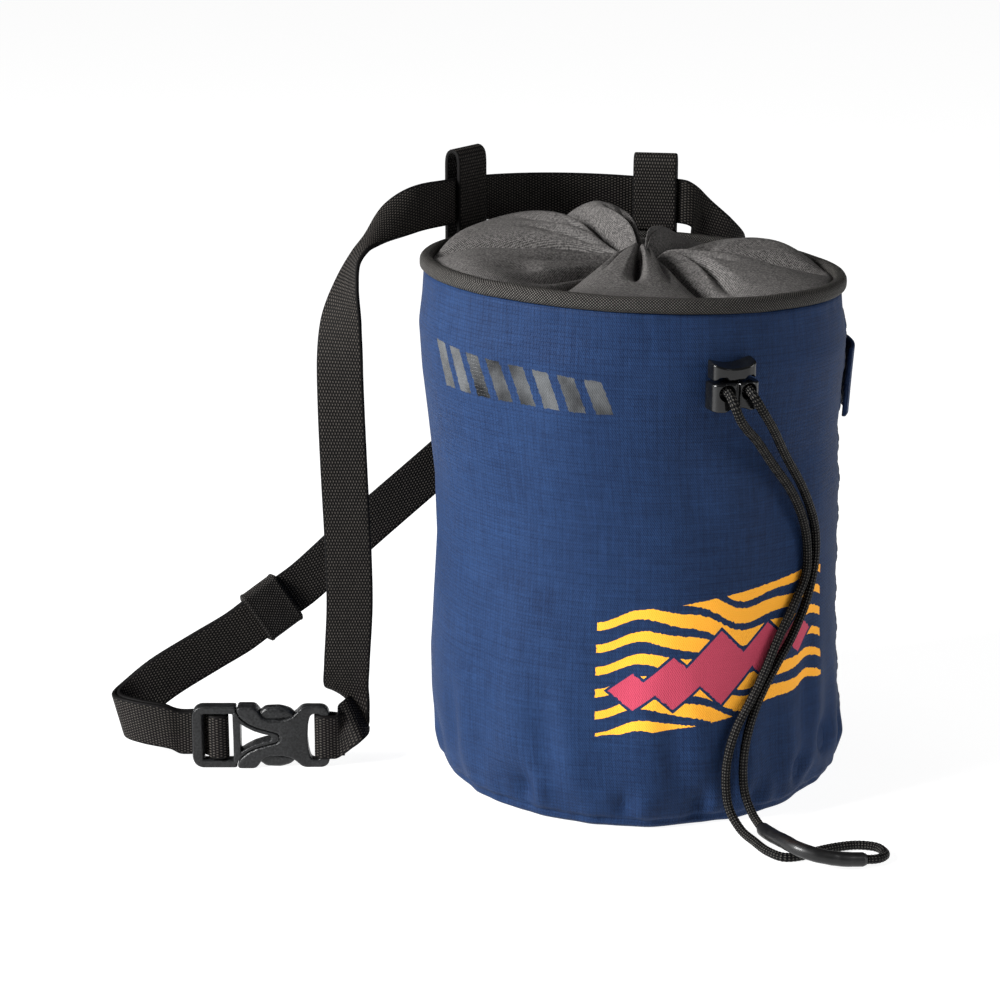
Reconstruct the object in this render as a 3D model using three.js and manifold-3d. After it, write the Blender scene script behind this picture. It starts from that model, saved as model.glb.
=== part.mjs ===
// A climbing chalk bag: a round cloth bag, gathered shut by a draw cord, with a webbing waist belt.
// Millimetres, +Z up. The origin is on the floor under the bag's axis; the cord lock is at the front (-Y)
// and the belt loops are at the back (+Y). Angles are in degrees from +X, counter-clockwise seen from above.

import * as THREE from "three";
import { mergeVertices } from "three/addons/utils/BufferGeometryUtils.js";
import Module from "manifold-3d";

const wasm = await Module();
wasm.setup();

// Driving dimensions of the bag
const bagHeight = 167; // floor to the cloth's top edge, on the axis
const rimRadius = 68; // outside of the cloth at the top edge
const clothWall = 2;
const floorWall = 2;
const rimSlope = 4.2; // how far the rim dips at its low side and rises at its high side
const rimLowAngle = 23;
const seamGap = 0.3; // left between pieces that are sewn or pressed together

// Driving dimensions of the binding and the gathered closure
const bindingWide = 4.2;
const bindingTall = 4.9;
const closureWall = 1.2;
const closureHole = 2; // radius of what the cord leaves open
const gatherX = 3;
const gatherY = -1;

// Driving dimensions of the webbing
const webWidth = 15.5;
const webThick = 1.5;
const beltRise = 15; // from the cloth's top edge up to the middle of the belt where it crosses the back
const beltTilt = 2.6; // how far the belt is higher at the left loop and lower at the right one
const loopSpread = 31; // angle of each belt loop from the back
const loopWidth = 15;
const loopSlack = 1.1;
const loopTailLength = 16; // how far the outer leg runs down the cloth
const loopShoulder = 1.2; // how much lower a loop's arch is at its shoulders
const loopStandOff = 0.2;

// Driving dimensions of the buckle
const buckleLength = 46.8;
const buckleCheek = 2.9; // beside the webbing, above and below it
const buckleThick = 7;
const frameThick = 2.8;
const sewnFrameThick = 4;
const pocketThick = 4.4; // room inside the receiving half for the prongs
const pocketWall = 1.6;
const endRadius = 2.8; // rounding of the buckle's four corners
const barThick = 1.8;
const barWide = 2.6;
const buckleHeading = -22;
const endBarWide = 3.6;
const grabBar = 8.8; // from the buckle's end to the middle of the bar that the tail is folded over
const sewnBarInset = 1.9; // from the other end to the middle of the bar that the belt is sewn round
const sewnSlotWide = 4.7;
const crossBarInset = 1.65; // from the folded webbing to the bar between slot and window
const sewnLap = 6.4; // how far the sewn end runs back along the belt
const wrapSpare = 0.6; // slack of the webbing round a bar, along the buckle and across it
const wrapLift = 0.3;
const tailLead = 4.5; // where the belt turns level with the buckle's back
const tailRise = 0.3;
const webClearance = 0.35;
const keeperLength = 14.5;
const keeperWall = 1.3;

// Driving dimensions of the cord and its fittings
const cordDiameter = 3;
const sleeveWall = 0.45;
const sleeveClearance = 0.35;
const lockWidth = 15.8;
const lockDepth = 7.8;
const lockBodyTall = 8.8;
const lockButtonTall = 6.2;
const lockButtonInset = 0.7;
const lockTravel = 0.6;
const lockDrop = 26.2; // from the cloth's top edge down to the lock's foot
const lockClearance = 0.5; // over the cloth behind it
const lockHoleRadius = 2.5;
const lockHoleSpacing = 7.3;
const brushLoopTall = 23;
const brushLoopWall = 1.5;
const brushLoopDrop = 46; // from the cloth's top edge down to the loop's lower edge
const brushLoopStandOff = 0.3;

// Heights that follow from the bag's
const beltHeight = bagHeight + beltRise;
const lockBottom = bagHeight - lockDrop;
const brushLoopBottom = bagHeight - brushLoopDrop;

// The bag's wall: height is a share of bagHeight, radius and sway (a shift towards +X) of rimRadius.
const wallSections = [
  { height: 0, radius: 0.93, sway: 0.047 },
  { height: 0.007, radius: 0.962, sway: 0.05 },
  { height: 0.026, radius: 0.995, sway: 0.055 },
  { height: 0.072, radius: 1.018, sway: 0.055 },
  { height: 0.15, radius: 1.018, sway: 0.04 },
  { height: 0.24, radius: 1.013, sway: 0.03 },
  { height: 0.36, radius: 0.997, sway: 0.032 },
  { height: 0.48, radius: 0.984, sway: 0.043 },
  { height: 0.6, radius: 0.987, sway: 0.04 },
  { height: 0.72, radius: 0.996, sway: 0.012 },
  { height: 0.81, radius: 1.016, sway: 0.003 },
  { height: 0.9, radius: 1.031, sway: 0.003 },
  { height: 0.96, radius: 1.012, sway: 0.003 },
  { height: 1, radius: 1, sway: 0 },
];

// Dents and puckers of the wall: at and tall are shares of bagHeight, depth of rimRadius, wide is in degrees.
const wallDents = [
  { angle: -84, at: 0.79, wide: 11, tall: 0.06, depth: 0.012 }, // the cord lock's pull on the cloth
  { angle: -26, at: 0.5, wide: 5, tall: 0.6, depth: 0.014 }, // side seam
  { angle: -57, at: 0.05, wide: 4, tall: 0.06, depth: 0.03 },
  { angle: -97, at: 0.06, wide: 5, tall: 0.06, depth: 0.026 },
  { angle: -150, at: 0.05, wide: 6, tall: 0.06, depth: 0.03 },
  { angle: 170, at: 0.06, wide: 5, tall: 0.05, depth: 0.024 },
  { angle: 118, at: 0.05, wide: 6, tall: 0.06, depth: 0.028 },
  { angle: 62, at: 0.06, wide: 5, tall: 0.05, depth: 0.024 },
  { angle: 12, at: 0.05, wide: 6, tall: 0.06, depth: 0.026 },
  { angle: 88, at: 0.52, wide: 26, tall: 0.16, depth: 0.016 },
];

// The closure's folds: rise is a share of rimRadius, peak the share of the way out where a fold is highest.
const closureFolds = [
  { angle: 86, wide: 27, rise: 0.235, peak: 0.4 },
  { angle: 134, wide: 25, rise: 0.16, peak: 0.66 },
  { angle: 176, wide: 17, rise: 0.12, peak: 0.6 },
  { angle: 210, wide: 19, rise: 0.12, peak: 0.56 },
  { angle: 249, wide: 17, rise: 0.15, peak: 0.36 },
  { angle: 292, wide: 19, rise: 0.13, peak: 0.5 },
  { angle: 328, wide: 16, rise: 0.13, peak: 0.52 },
  { angle: 3, wide: 21, rise: 0.16, peak: 0.56 },
  { angle: 42, wide: 17, rise: 0.14, peak: 0.5 },
];
const closureSteps = [1, 0.95, 0.87, 0.76, 0.64, 0.52, 0.4, 0.29, 0.19, 0.11];
const closureRings = 64;
const wallRings = 56;

// The belt's route away from the bag: x and y are shares of rimRadius, z of beltHeight. Each row also
// holds the direction across the webbing, from the edge that is on top at the loops to the other edge.
const hangingRoute = [
  { x: -1.365, y: 0.384, z: 0.076, across: [0.14, -0.38, -0.91] },
  { x: -1.319, y: 0.382, z: 0.088, across: [0.18, -0.6, -0.78] },
  { x: -1.259, y: 0.46, z: 0.093, across: [0.2, -0.62, -0.76] },
  { x: -1.284, y: 0.494, z: 0.108, across: [0.55, -0.65, -0.52] },
  { x: -1.315, y: 0.484, z: 0.137, across: [0.9, -0.42, -0.15] },
  { x: -1.324, y: 0.447, z: 0.189, across: [0.93, -0.37, 0] },
  { x: -1.316, y: 0.413, z: 0.308, across: [0.93, -0.37, 0] },
  { x: -1.325, y: 0.393, z: 0.415, across: [0.93, -0.37, 0] },
  { x: -1.34, y: 0.391, z: 0.562, across: [0.93, -0.37, 0] },
  { x: -1.347, y: 0.401, z: 0.69, across: [0.89, -0.47, 0] },
  { x: -1.344, y: 0.416, z: 0.773, across: [0.83, -0.55, 0] },
  { x: -1.326, y: 0.441, z: 0.843, across: [0.61, -0.79, 0] },
  { x: -1.285, y: 0.472, z: 0.903, across: [0.15, -0.99, 0] },
  { x: -1.226, y: 0.512, z: 0.948, across: [-0.18, -0.98, 0] },
  { x: -1.16, y: 0.54, z: 0.972, across: [-0.28, -0.96, -0.1] },
  { x: -1.05, y: 0.6, z: 1.0, across: [-0.24, -0.72, -0.65] },
  { x: -0.86, y: 0.667, z: 1.018, across: [-0.05, -0.2, -0.98] },
];
const crossingRoute = [
  { x: 0.735, y: 0.775, z: 0.95, across: [-0.33, 0.13, -0.93] },
  { x: 0.857, y: 0.757, z: 0.906, across: [-0.42, 0.17, -0.89] },
  { x: 0.95, y: 0.79, z: 0.868, across: [-0.36, 0.04, -0.93] },
  { x: 0.946, y: 0.9, z: 0.835, across: [-0.19, 0.07, -0.98] },
  { x: 0.818, y: 1.0, z: 0.802, across: [0, 0, -1] },
  { x: 0.566, y: 1.088, z: 0.753, across: [0.19, -0.07, -0.98] },
  { x: 0.231, y: 1.16, z: 0.676, across: [0.32, -0.13, -0.94] },
  { x: -0.193, y: 1.172, z: 0.577, across: [0.44, -0.18, -0.88] },
  { x: -0.613, y: 1.11, z: 0.474, across: [0.49, -0.2, -0.85] },
  { x: -1.03, y: 1.09, z: 0.364, across: [0.49, -0.2, -0.85] },
];
// The run through the keeper and round the left turn: offsets from the keeper, in shares of webWidth.
const keeperPlace = { x: -1.512, y: 1.087, z: 0.236 };
const keeperAxis = new THREE.Vector3(0.863, 0.034, 0.505).normalize();
const keeperAcross = [0.49, -0.2, -0.85];
const turnRoute = [
  { x: -1.56, y: -0.08, z: -0.8, across: [0.5, -0.2, -0.84] },
  { x: -2.62, y: -0.17, z: -1.27, across: [0.48, -0.18, -0.86] },
  { x: -3.26, y: -0.23, z: -1.66, across: [0.38, -0.14, -0.91] },
  { x: -3.66, y: -0.42, z: -1.85, across: [0.24, -0.1, -0.97] },
  { x: -3.68, y: -0.66, z: -1.87, across: [0.2, -0.08, -0.98] },
  { x: -3.4, y: -1.1, z: -1.88, across: [0.14, -0.06, -0.99] },
  { x: -2.86, y: -1.48, z: -1.95, across: [0.08, -0.03, -1] },
];

// The draw cord's route: out of the lock's left hole, down the bag, round its end on the floor, and back
// up into the right hole.
const cordRoute = [
  [-3.65, -74.6, 147.2],
  [-3.6, -78.4, 146.8],
  [-3.1, -81.4, 143.9],
  [-1.2, -81.4, 139.6],
  [1.9, -79.6, 135.8],
  [7.4, -76, 130.6],
  [15, -71.7, 121.6],
  [26.4, -66, 107.7],
  [33, -62.4, 93.6],
  [34, -61.6, 80.4],
  [29.2, -63.9, 71.8],
  [22.2, -66.9, 61.9],
  [16.4, -68.9, 51.6],
  [11.2, -70.4, 43.4],
  [5.6, -71.3, 34.6],
  [2.6, -71.6, 25.2],
  [2, -71.8, 16],
  [3, -73, 7.6],
  [4.6, -78, 2.6],
  [5.4, -86, 1.6],
  [5.9, -94.6, 1.6],
  [8.4, -100.2, 1.6],
  [13.6, -101.4, 1.6],
  [20.6, -100, 1.6],
  [28, -99.6, 1.6],
  [34.6, -100.8, 1.6],
  [39.2, -104.6, 1.6],
  [38.8, -110.4, 1.7],
  [34.4, -113.4, 2.2],
  [28.4, -113, 2.8],
  [21.4, -112.4, 3.9],
  [14.6, -110.8, 5.6],
  [10.4, -105.6, 6.4],
  [9.3, -99, 6.2],
  [9.4, -90, 4.8],
  [10.2, -81, 3.9],
  [10, -74.8, 6.4],
  [8.6, -72, 13],
  [8.3, -71.6, 24.6],
  [10.6, -71, 35.2],
  [14.9, -69.8, 44.4],
  [21, -67.7, 52.6],
  [28, -64.9, 60.8],
  [34.6, -61.6, 71.5],
  [38.3, -59.3, 83.5],
  [37.4, -60, 94.8],
  [30.8, -64.4, 108.4],
  [20, -71.2, 123.4],
  [12.4, -77.2, 134],
  [6.8, -80.6, 141.2],
  [4, -80.2, 145.8],
  [3.65, -77, 147.4],
  [3.65, -74.6, 147.6],
];
const cordSteps = 80;
const sleeveFrom = 42; // the cord's steps between which the sleeve lies
const sleeveTo = 50;

const radians = THREE.MathUtils.degToRad;

function paint(color, roughness) {
  return new THREE.MeshStandardMaterial({ color, roughness, metalness: 0 });
}
const blueCloth = paint(0x263f70, 0.75);
const greyCloth = paint(0x4d4a48, 0.8);
const bindingTape = paint(0x2b2a2a, 0.85);
const blackWebbing = paint(0x1c1b1a, 0.8);
const charcoalPlastic = paint(0x323436, 0.45);
const blackPlastic = paint(0x141516, 0.2);
const braid = paint(0x121212, 0.8);
const shrinkPlastic = paint(0x1a1a1b, 0.5);

// A column of a table at any height, straight between its rows.
function tableValue(rows, at, column) {
  const next = Math.max(1, rows.findIndex((row) => row.height >= at));
  const low = rows[next - 1];
  const high = rows[next];
  const share = (at - low.height) / (high.height - low.height);
  return THREE.MathUtils.lerp(low[column], high[column], share);
}

function angleBetween(a, b) {
  return Math.abs(THREE.MathUtils.euclideanModulo(a - b + 180, 360) - 180);
}

function rimHeight(angle) {
  return bagHeight - rimSlope * Math.cos(radians(angle - rimLowAngle));
}

function wallRadius(angle, height) {
  let radius = tableValue(wallSections, height, "radius");
  for (const dent of wallDents) {
    const across = angleBetween(angle, dent.angle) / dent.wide;
    const along = (height - dent.at) / dent.tall;
    radius -= dent.depth * Math.exp(-across * across - along * along);
  }
  return radius * rimRadius;
}

// A point on the bag's wall, moved outwards by out; height is a share of the wall's height there.
function wallPoint(angle, height, out = 0) {
  const radius = wallRadius(angle, height) + out;
  const sway = tableValue(wallSections, height, "sway") * rimRadius;
  const turn = radians(angle);
  return new THREE.Vector3(
    sway + radius * Math.cos(turn),
    radius * Math.sin(turn),
    height * rimHeight(angle),
  );
}

function ringOf(count, pointAt) {
  return Array.from({ length: count }, (_, i) => pointAt((360 * i) / count));
}

// A closed body skinned over rings of points. Rings of one point are poles; a body without poles is
// either closed in itself, as a ring is, or gets a middle point at each end.
function skin(rings, loops = false) {
  const rows = [...rings];
  if (!loops && rows[0].length > 1) rows.unshift([middleOf(rows[0])]);
  if (!loops && rows.at(-1).length > 1) rows.push([middleOf(rows.at(-1))]);
  if (loops) rows.push(rows[0]);
  const corners = [];
  for (let r = 0; r + 1 < rows.length; r++) {
    const a = rows[r];
    const b = rows[r + 1];
    const count = Math.max(a.length, b.length);
    for (let i = 0; i < count; i++) {
      const j = (i + 1) % count;
      if (a.length > 1) corners.push(a[i], a[j], b[b.length > 1 ? j : 0]);
      if (b.length > 1) corners.push(a[a.length > 1 ? i : 0], b[j], b[i]);
    }
  }
  if (volumeOf(corners) < 0) corners.reverse();
  const geometry = new THREE.BufferGeometry().setFromPoints(corners);
  geometry.computeVertexNormals();
  return geometry;
}

function middleOf(points) {
  const middle = new THREE.Vector3();
  for (const point of points) middle.add(point);
  return middle.divideScalar(points.length);
}

function volumeOf(corners) {
  let volume = 0;
  for (let i = 0; i < corners.length; i += 3) {
    volume += corners[i].dot(corners[i + 1].clone().cross(corners[i + 2]));
  }
  return volume / 6;
}

// Joins and cuts
function solidOf(geometry) {
  const bare = geometry.clone();
  bare.deleteAttribute("normal");
  bare.deleteAttribute("uv");
  const merged = mergeVertices(bare, 1e-4);
  return new wasm.Manifold(
    new wasm.Mesh({
      numProp: 3,
      vertProperties: merged.attributes.position.array,
      triVerts: new Uint32Array(merged.index.array),
    }),
  );
}

function geometryOf(solid) {
  const mesh = solid.getMesh();
  const geometry = new THREE.BufferGeometry();
  geometry.setAttribute("position", new THREE.BufferAttribute(mesh.vertProperties, mesh.numProp));
  geometry.setIndex(new THREE.BufferAttribute(mesh.triVerts, 1));
  geometry.computeVertexNormals();
  return geometry;
}

function outlineShape(points) {
  return new THREE.Shape(points.map(([x, y]) => new THREE.Vector2(x, y)));
}

function roundedBox(width, height, radius, Kind = THREE.Shape) {
  const x = width / 2 - radius;
  const y = height / 2 - radius;
  const shape = new Kind();
  shape.absarc(x, -y, radius, radians(-90), 0);
  shape.absarc(x, y, radius, 0, radians(90));
  shape.absarc(-x, y, radius, radians(90), radians(180));
  shape.absarc(-x, -y, radius, radians(180), radians(270));
  return shape;
}

function addPiece(group, name, geometry, material) {
  const mesh = new THREE.Mesh(geometry, material);
  mesh.name = name;
  group.add(mesh);
  return mesh;
}

const bag = new THREE.Group();
bag.name = "chalk_bag";

// The bag's cloth: an open-topped wall with a floor, its inside one cloth thickness further in
function makeShell() {
  const heights = wallSections.map((row) => row.height);
  const outside = heights.map((h) => ringOf(wallRings, (angle) => wallPoint(angle, h)));
  const insideHeights = heights.filter((h) => h * bagHeight > 2 * floorWall).reverse();
  const inside = insideHeights.map((h) => ringOf(wallRings, (angle) => wallPoint(angle, h, -clothWall)));
  const floor = ringOf(wallRings, (angle) => wallPoint(angle, 0, -clothWall).setZ(floorWall));
  return skin([
    [new THREE.Vector3(0, 0, 0)],
    ...outside,
    ...inside,
    floor,
    [new THREE.Vector3(0, 0, floorWall)],
  ]);
}
addPiece(bag, "bag_shell", makeShell(), blueCloth);

// The binding: a tape folded over the cloth's top edge
const bindingMiddle = rimRadius - clothWall / 2;
function bindingTop(angle) {
  return rimHeight(angle) + seamGap + bindingTall;
}
function makeBinding() {
  const section = [
    { across: -0.5, up: 0 },
    { across: 0.5, up: 0 },
    { across: 0.5, up: 0.72 },
    { across: 0.24, up: 1 },
    { across: -0.24, up: 1 },
    { across: -0.5, up: 0.72 },
  ];
  const rings = section.map((corner) =>
    ringOf(wallRings, (angle) => {
      const radius = bindingMiddle + corner.across * bindingWide;
      const height = rimHeight(angle) + seamGap + corner.up * bindingTall;
      return new THREE.Vector3(
        radius * Math.cos(radians(angle)),
        radius * Math.sin(radians(angle)),
        height,
      );
    }),
  );
  return skin(rings, true);
}
addPiece(bag, "rim_binding", makeBinding(), bindingTape);

// The closure: cloth that rises from the binding in folds and falls into the gather at its middle
const closureRadius = bindingMiddle - bindingWide / 2 - seamGap;
function closureRise(angle, share) {
  let rise = 0;
  for (const fold of closureFolds) {
    const across = angleBetween(angle, fold.angle) / fold.wide;
    const power = Math.log(0.5) / Math.log(fold.peak);
    const along = Math.sin(Math.PI * Math.pow(share, power));
    rise += fold.rise * Math.exp(-across * across) * Math.max(0, along);
  }
  return rise * rimRadius;
}
function closurePoint(angle, share, drop) {
  const hole = closureHole / closureRadius;
  const radius = Math.max(share, hole) * closureRadius;
  const lean = 1 - share;
  const edge = rimHeight(angle) + seamGap + 0.55 * bindingTall;
  const middle = bagHeight + bindingTall;
  const base = THREE.MathUtils.lerp(middle, edge, share);
  return new THREE.Vector3(
    gatherX * lean + radius * Math.cos(radians(angle)),
    gatherY * lean + radius * Math.sin(radians(angle)),
    base + closureRise(angle, share) - drop,
  );
}
function makeClosure() {
  const steps = [...closureSteps, closureHole / closureRadius];
  const top = steps.map((s) => ringOf(closureRings, (angle) => closurePoint(angle, s, 0)));
  const under = [...steps]
    .reverse()
    .map((s) => ringOf(closureRings, (angle) => closurePoint(angle, s, closureWall)));
  return skin([...top, ...under], true);
}
addPiece(bag, "closure_top", makeClosure(), greyCloth);

// A strap through stations of a place and a direction across; its section is a plain rectangle.
function makeStrap(stations, width, thickness) {
  const rings = stations.map((station, i) => {
    const before = stations[Math.max(0, i - 1)].place;
    const after = stations[Math.min(stations.length - 1, i + 1)].place;
    const ahead = after.clone().sub(before).normalize();
    const across = station.across.clone().multiplyScalar(width / 2);
    const face = ahead.cross(station.across).normalize().multiplyScalar(thickness / 2);
    const corner = (side, top) =>
      station.place.clone().addScaledVector(across, side).addScaledVector(face, top);
    return [corner(-1, -1), corner(1, -1), corner(1, 1), corner(-1, 1)];
  });
  return skin(rings);
}

// Stations along a smooth curve through the rows, count of them for each row
function smoothStations(rows, count) {
  const curve = new THREE.CatmullRomCurve3(rows.map((row) => row.place));
  const turns = new THREE.CatmullRomCurve3(rows.map((row) => row.across));
  const last = (rows.length - 1) * count;
  return Array.from({ length: last + 1 }, (_, i) => ({
    place: curve.getPoint(i / last),
    across: turns.getPoint(i / last).normalize(),
  }));
}

// The belt loops: a short band that stands on the binding, arches over the belt and runs down the cloth
const beltRadius = bindingMiddle + webThick;
const legReach = webThick + loopSlack;
const down = new THREE.Vector3(0, 0, -1);
function beltHeightAt(angle) {
  return beltHeight + (beltTilt * (angle - 90)) / loopSpread;
}
function loopStations(angle, rise) {
  const turn = radians(angle);
  const out = new THREE.Vector3(Math.cos(turn), Math.sin(turn), 0);
  const across = new THREE.Vector3(-Math.sin(turn), Math.cos(turn), 0);
  const beltTop = beltHeightAt(angle) + webWidth / 2;
  const tailHeight = (rimHeight(angle) - loopTailLength) / rimHeight(angle);
  const wall = wallPoint(angle, tailHeight).setZ(0).length();
  const tail = Math.max(legReach, wall + seamGap + webThick / 2 + loopStandOff - beltRadius);
  const halfAngle = THREE.MathUtils.radToDeg(loopWidth / 2 / beltRadius);
  const foot = Math.max(bindingTop(angle - halfAngle), bindingTop(angle + halfAngle)) + seamGap;
  const profile = [
    { reach: -legReach, z: foot },
    { reach: -legReach, z: beltTop - webWidth / 2 },
    { reach: -legReach, z: beltTop },
    { reach: -0.75 * legReach, z: beltTop + rise - loopShoulder },
    { reach: 0, z: beltTop + rise },
    { reach: 0.75 * legReach, z: beltTop + rise - loopShoulder },
    { reach: legReach, z: beltTop },
    { reach: legReach, z: beltTop - webWidth },
    { reach: tail, z: rimHeight(angle) },
    { reach: tail, z: rimHeight(angle) - loopTailLength },
  ];
  const rows = profile.map(({ reach, z }) => ({
    place: out.clone().multiplyScalar(beltRadius + reach).setZ(z),
    across,
  }));
  return smoothStations(rows, 2);
}
const beltLoops = [
  { name: "belt_loop_left", angle: 90 + loopSpread, rise: 9.5 },
  { name: "belt_loop_right", angle: 90 - loopSpread, rise: 8 },
];
for (const { name, angle, rise } of beltLoops) {
  addPiece(bag, name, makeStrap(loopStations(angle, rise), loopWidth, webThick), blackWebbing);
}

const slotTall = webWidth + 2 * webClearance;
const buckleTall = slotTall + 2 * buckleCheek;

// The buckle's own frame: u runs along it from the belt's adjusting end, n stands out of its face. It
// lies on one long edge, beside the bag, where the hanging belt reaches the floor.
const buckleTurn = radians(buckleHeading);
const buckleStart = new THREE.Vector3(
  -1.425 * rimRadius - buckleLength * Math.cos(buckleTurn),
  0.412 * rimRadius - buckleLength * Math.sin(buckleTurn),
  buckleTall / 2,
);
function atBuckle(u, n) {
  return new THREE.Vector3(u, -n, 0)
    .applyAxisAngle(new THREE.Vector3(0, 0, 1), buckleTurn)
    .add(buckleStart);
}

// Places of the bars that the webbing goes round, and of the slots beside them
const sewnBar = buckleLength - sewnBarInset;
const wrapReach = barWide / 2 + webClearance + webThick / 2 + wrapSpare;
const wrapOut = barThick / 2 + webClearance + webThick / 2 + wrapLift;
const crossBarStart = grabBar + wrapReach + webThick / 2 + crossBarInset;
const sewnSlotStart = sewnBar - barWide / 2 - sewnSlotWide;
// Turns of the webbing round each bar, in degrees from the buckle's length
const sewnWrap = { from: -60, to: -300 };
const grabWrap = { from: 195, to: -35 };

function wrapRows(bar, { from, to }) {
  const turns = 5;
  return Array.from({ length: turns }, (_, i) => {
    const turn = radians(THREE.MathUtils.lerp(from, to, i / (turns - 1)));
    return {
      place: atBuckle(bar + wrapReach * Math.cos(turn), wrapOut * Math.sin(turn)),
      across: down,
    };
  });
}
function buckleRow(u, n) {
  return { place: atBuckle(u, n), across: down };
}
function routeRows(table) {
  return table.map(({ x, y, z, across }) => ({
    place: new THREE.Vector3(x * rimRadius, y * rimRadius, z * beltHeight),
    across: new THREE.Vector3(...across),
  }));
}
function backRows() {
  const step = loopSpread / 3;
  const rows = [];
  for (let angle = 90 + loopSpread + step; angle > 90 - loopSpread - 1.5 * step; angle -= step) {
    const turn = radians(angle);
    rows.push({
      place: new THREE.Vector3(
        beltRadius * Math.cos(turn),
        beltRadius * Math.sin(turn),
        beltHeightAt(angle),
      ),
      across: down,
    });
  }
  return rows;
}
const keeperCentre = new THREE.Vector3(
  keeperPlace.x * rimRadius,
  keeperPlace.y * rimRadius,
  keeperPlace.z * beltHeight,
);
const keeperWidthways = new THREE.Vector3(...keeperAcross)
  .addScaledVector(keeperAxis, -new THREE.Vector3(...keeperAcross).dot(keeperAxis))
  .normalize();
function keeperRows() {
  return [1, 0.5, 0, -0.5, -1].map((share) => ({
    place: keeperCentre.clone().addScaledVector(keeperAxis, share * keeperLength),
    across: keeperWidthways,
  }));
}
function turnRows() {
  return turnRoute.map(({ x, y, z, across }) => ({
    place: keeperCentre.clone().addScaledVector(new THREE.Vector3(x, y, z), webWidth),
    across: new THREE.Vector3(...across),
  }));
}

// The belt is one length: sewn round the fixed bar, through both loops, round behind the bag, over the
// grab bar and back along itself as a doubled tail that ends inside the keeper.
function makeBelt() {
  const lapRise = (webThick + webClearance) / 2;
  const sewnEnd = [
    buckleRow(sewnBar + sewnLap, -lapRise - webClearance / 4),
    buckleRow(sewnBar + (sewnLap + barWide) / 2, -lapRise - webClearance),
    ...wrapRows(sewnBar, sewnWrap),
    buckleRow(sewnBar + (sewnLap + barWide) / 2, lapRise + webClearance),
  ];
  const lap = webThick + webClearance;
  const barSide = endBarWide + wrapSpare;
  const behind = -(frameThick / 2 + webClearance + webThick / 2);
  const run = [
    ...sewnEnd,
    ...routeRows(hangingRoute),
    ...backRows(),
    ...routeRows(crossingRoute),
    ...keeperRows(),
    ...turnRows(),
    buckleRow(-tailLead, behind - tailRise),
    buckleRow(endBarWide / 4, behind - tailRise / 2),
  ];
  const stations = smoothStations(run, 2);
  const keeperFrom = 2 * (run.length - 2 - turnRoute.length - 4);
  const tail = stations.slice(keeperFrom, -1).map((station, i, list) => {
    const before = list[Math.max(0, i - 1)].place;
    const after = list[Math.min(list.length - 1, i + 1)].place;
    const face = after.clone().sub(before).cross(station.across).normalize();
    return { place: station.place.clone().addScaledVector(face, lap), across: station.across };
  });
  const overBar = smoothStations(
    [
      buckleRow(barSide, behind),
      ...wrapRows(grabBar, grabWrap),
      buckleRow(grabBar + wrapSpare, behind - lap),
      buckleRow(grabBar - tailLead, behind - lap - tailRise / 2),
    ],
    2,
  );
  return makeStrap([...stations, ...overBar, ...tail.reverse()], webWidth, webThick);
}
addPiece(bag, "waist_belt", makeBelt(), blackWebbing);

// The keeper: a flat elastic tube round the belt and its tail
function makeKeeper() {
  const layers = 2 * webThick + webClearance;
  const shape = roundedBox(
    webWidth + 2 * (webClearance + keeperWall),
    layers + 2 * (webClearance + keeperWall),
    1.6,
  );
  shape.holes.push(roundedBox(webWidth + 2 * webClearance, layers + 2 * webClearance, 0.4, THREE.Path));
  const geometry = new THREE.ExtrudeGeometry(shape, {
    depth: keeperLength,
    bevelEnabled: false,
    curveSegments: 3,
  });
  geometry.translate(0, 0, -keeperLength / 2);
  return geometry;
}
const keeper = addPiece(bag, "belt_keeper", makeKeeper(), bindingTape);
const keeperFace = keeperWidthways.clone().cross(keeperAxis);
keeper.position.copy(keeperCentre).addScaledVector(keeperFace, (webThick + webClearance) / 2);
keeper.quaternion.setFromRotationMatrix(
  new THREE.Matrix4().makeBasis(keeperWidthways, keeperAxis.clone().cross(keeperWidthways), keeperAxis),
);

// The buckle: outlines are drawn as seen from the front for one half and mirrored. u is a share of the
// length between the webbing's two slots, or of the end it names, and v a share of half the height.
const seamOutline = [
  { u: 0.057, v: 1 },
  { u: 0.04, v: 0.87 },
  { u: 0.085, v: 0.67 },
  { u: 0.198, v: 0.455 },
  { u: 0.332, v: 0.32 },
  { u: 0.506, v: 0.21 },
  { u: 0.607, v: 0.145 },
  { u: 0.636, v: 0 },
];
const receiverOutline = [
  { u: 0.291, v: 1 },
  { u: 0.344, v: 0.88 },
  { u: 0.372, v: 0.74 },
  { u: 0.466, v: 0.63 },
  { u: 0.656, v: 0.61 },
  { u: 0.793, v: 0.68 },
  { u: 0.866, v: 0.84 },
  { u: 0.923, v: 0.98 },
  { u: 0.98, v: 1 },
  { u: 1.004, v: 1 },
  { u: 1.004, v: 0 },
];
const windowOutline = [
  { u: 0.097, v: 0 },
  { u: 0.097, v: 0.5 },
  { u: 0.194, v: 0.31 },
  { u: 0.316, v: 0.17 },
  { u: 0.478, v: 0 },
];
const prongOutline = [
  { u: 0, v: 0.36 },
  { u: 0, v: 0.6 },
  { u: 0.296, v: 0.76 },
  { u: 0.385, v: 0.84 },
  { u: 0.437, v: 0.98 },
  { u: 0.64, v: 1 },
  { u: 0.777, v: 0.9 },
  { u: 0.834, v: 0.74 },
  { u: 0.834, v: 0.6 },
  { u: 0.599, v: 0.62 },
  { u: 0.376, v: 0.55 },
];
const pocketEndShare = 0.85;
const buckle = new THREE.Group();
buckle.position.copy(buckleStart);
buckle.rotation.z = buckleTurn;
bag.add(buckle);
const half = buckleTall / 2;

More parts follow.
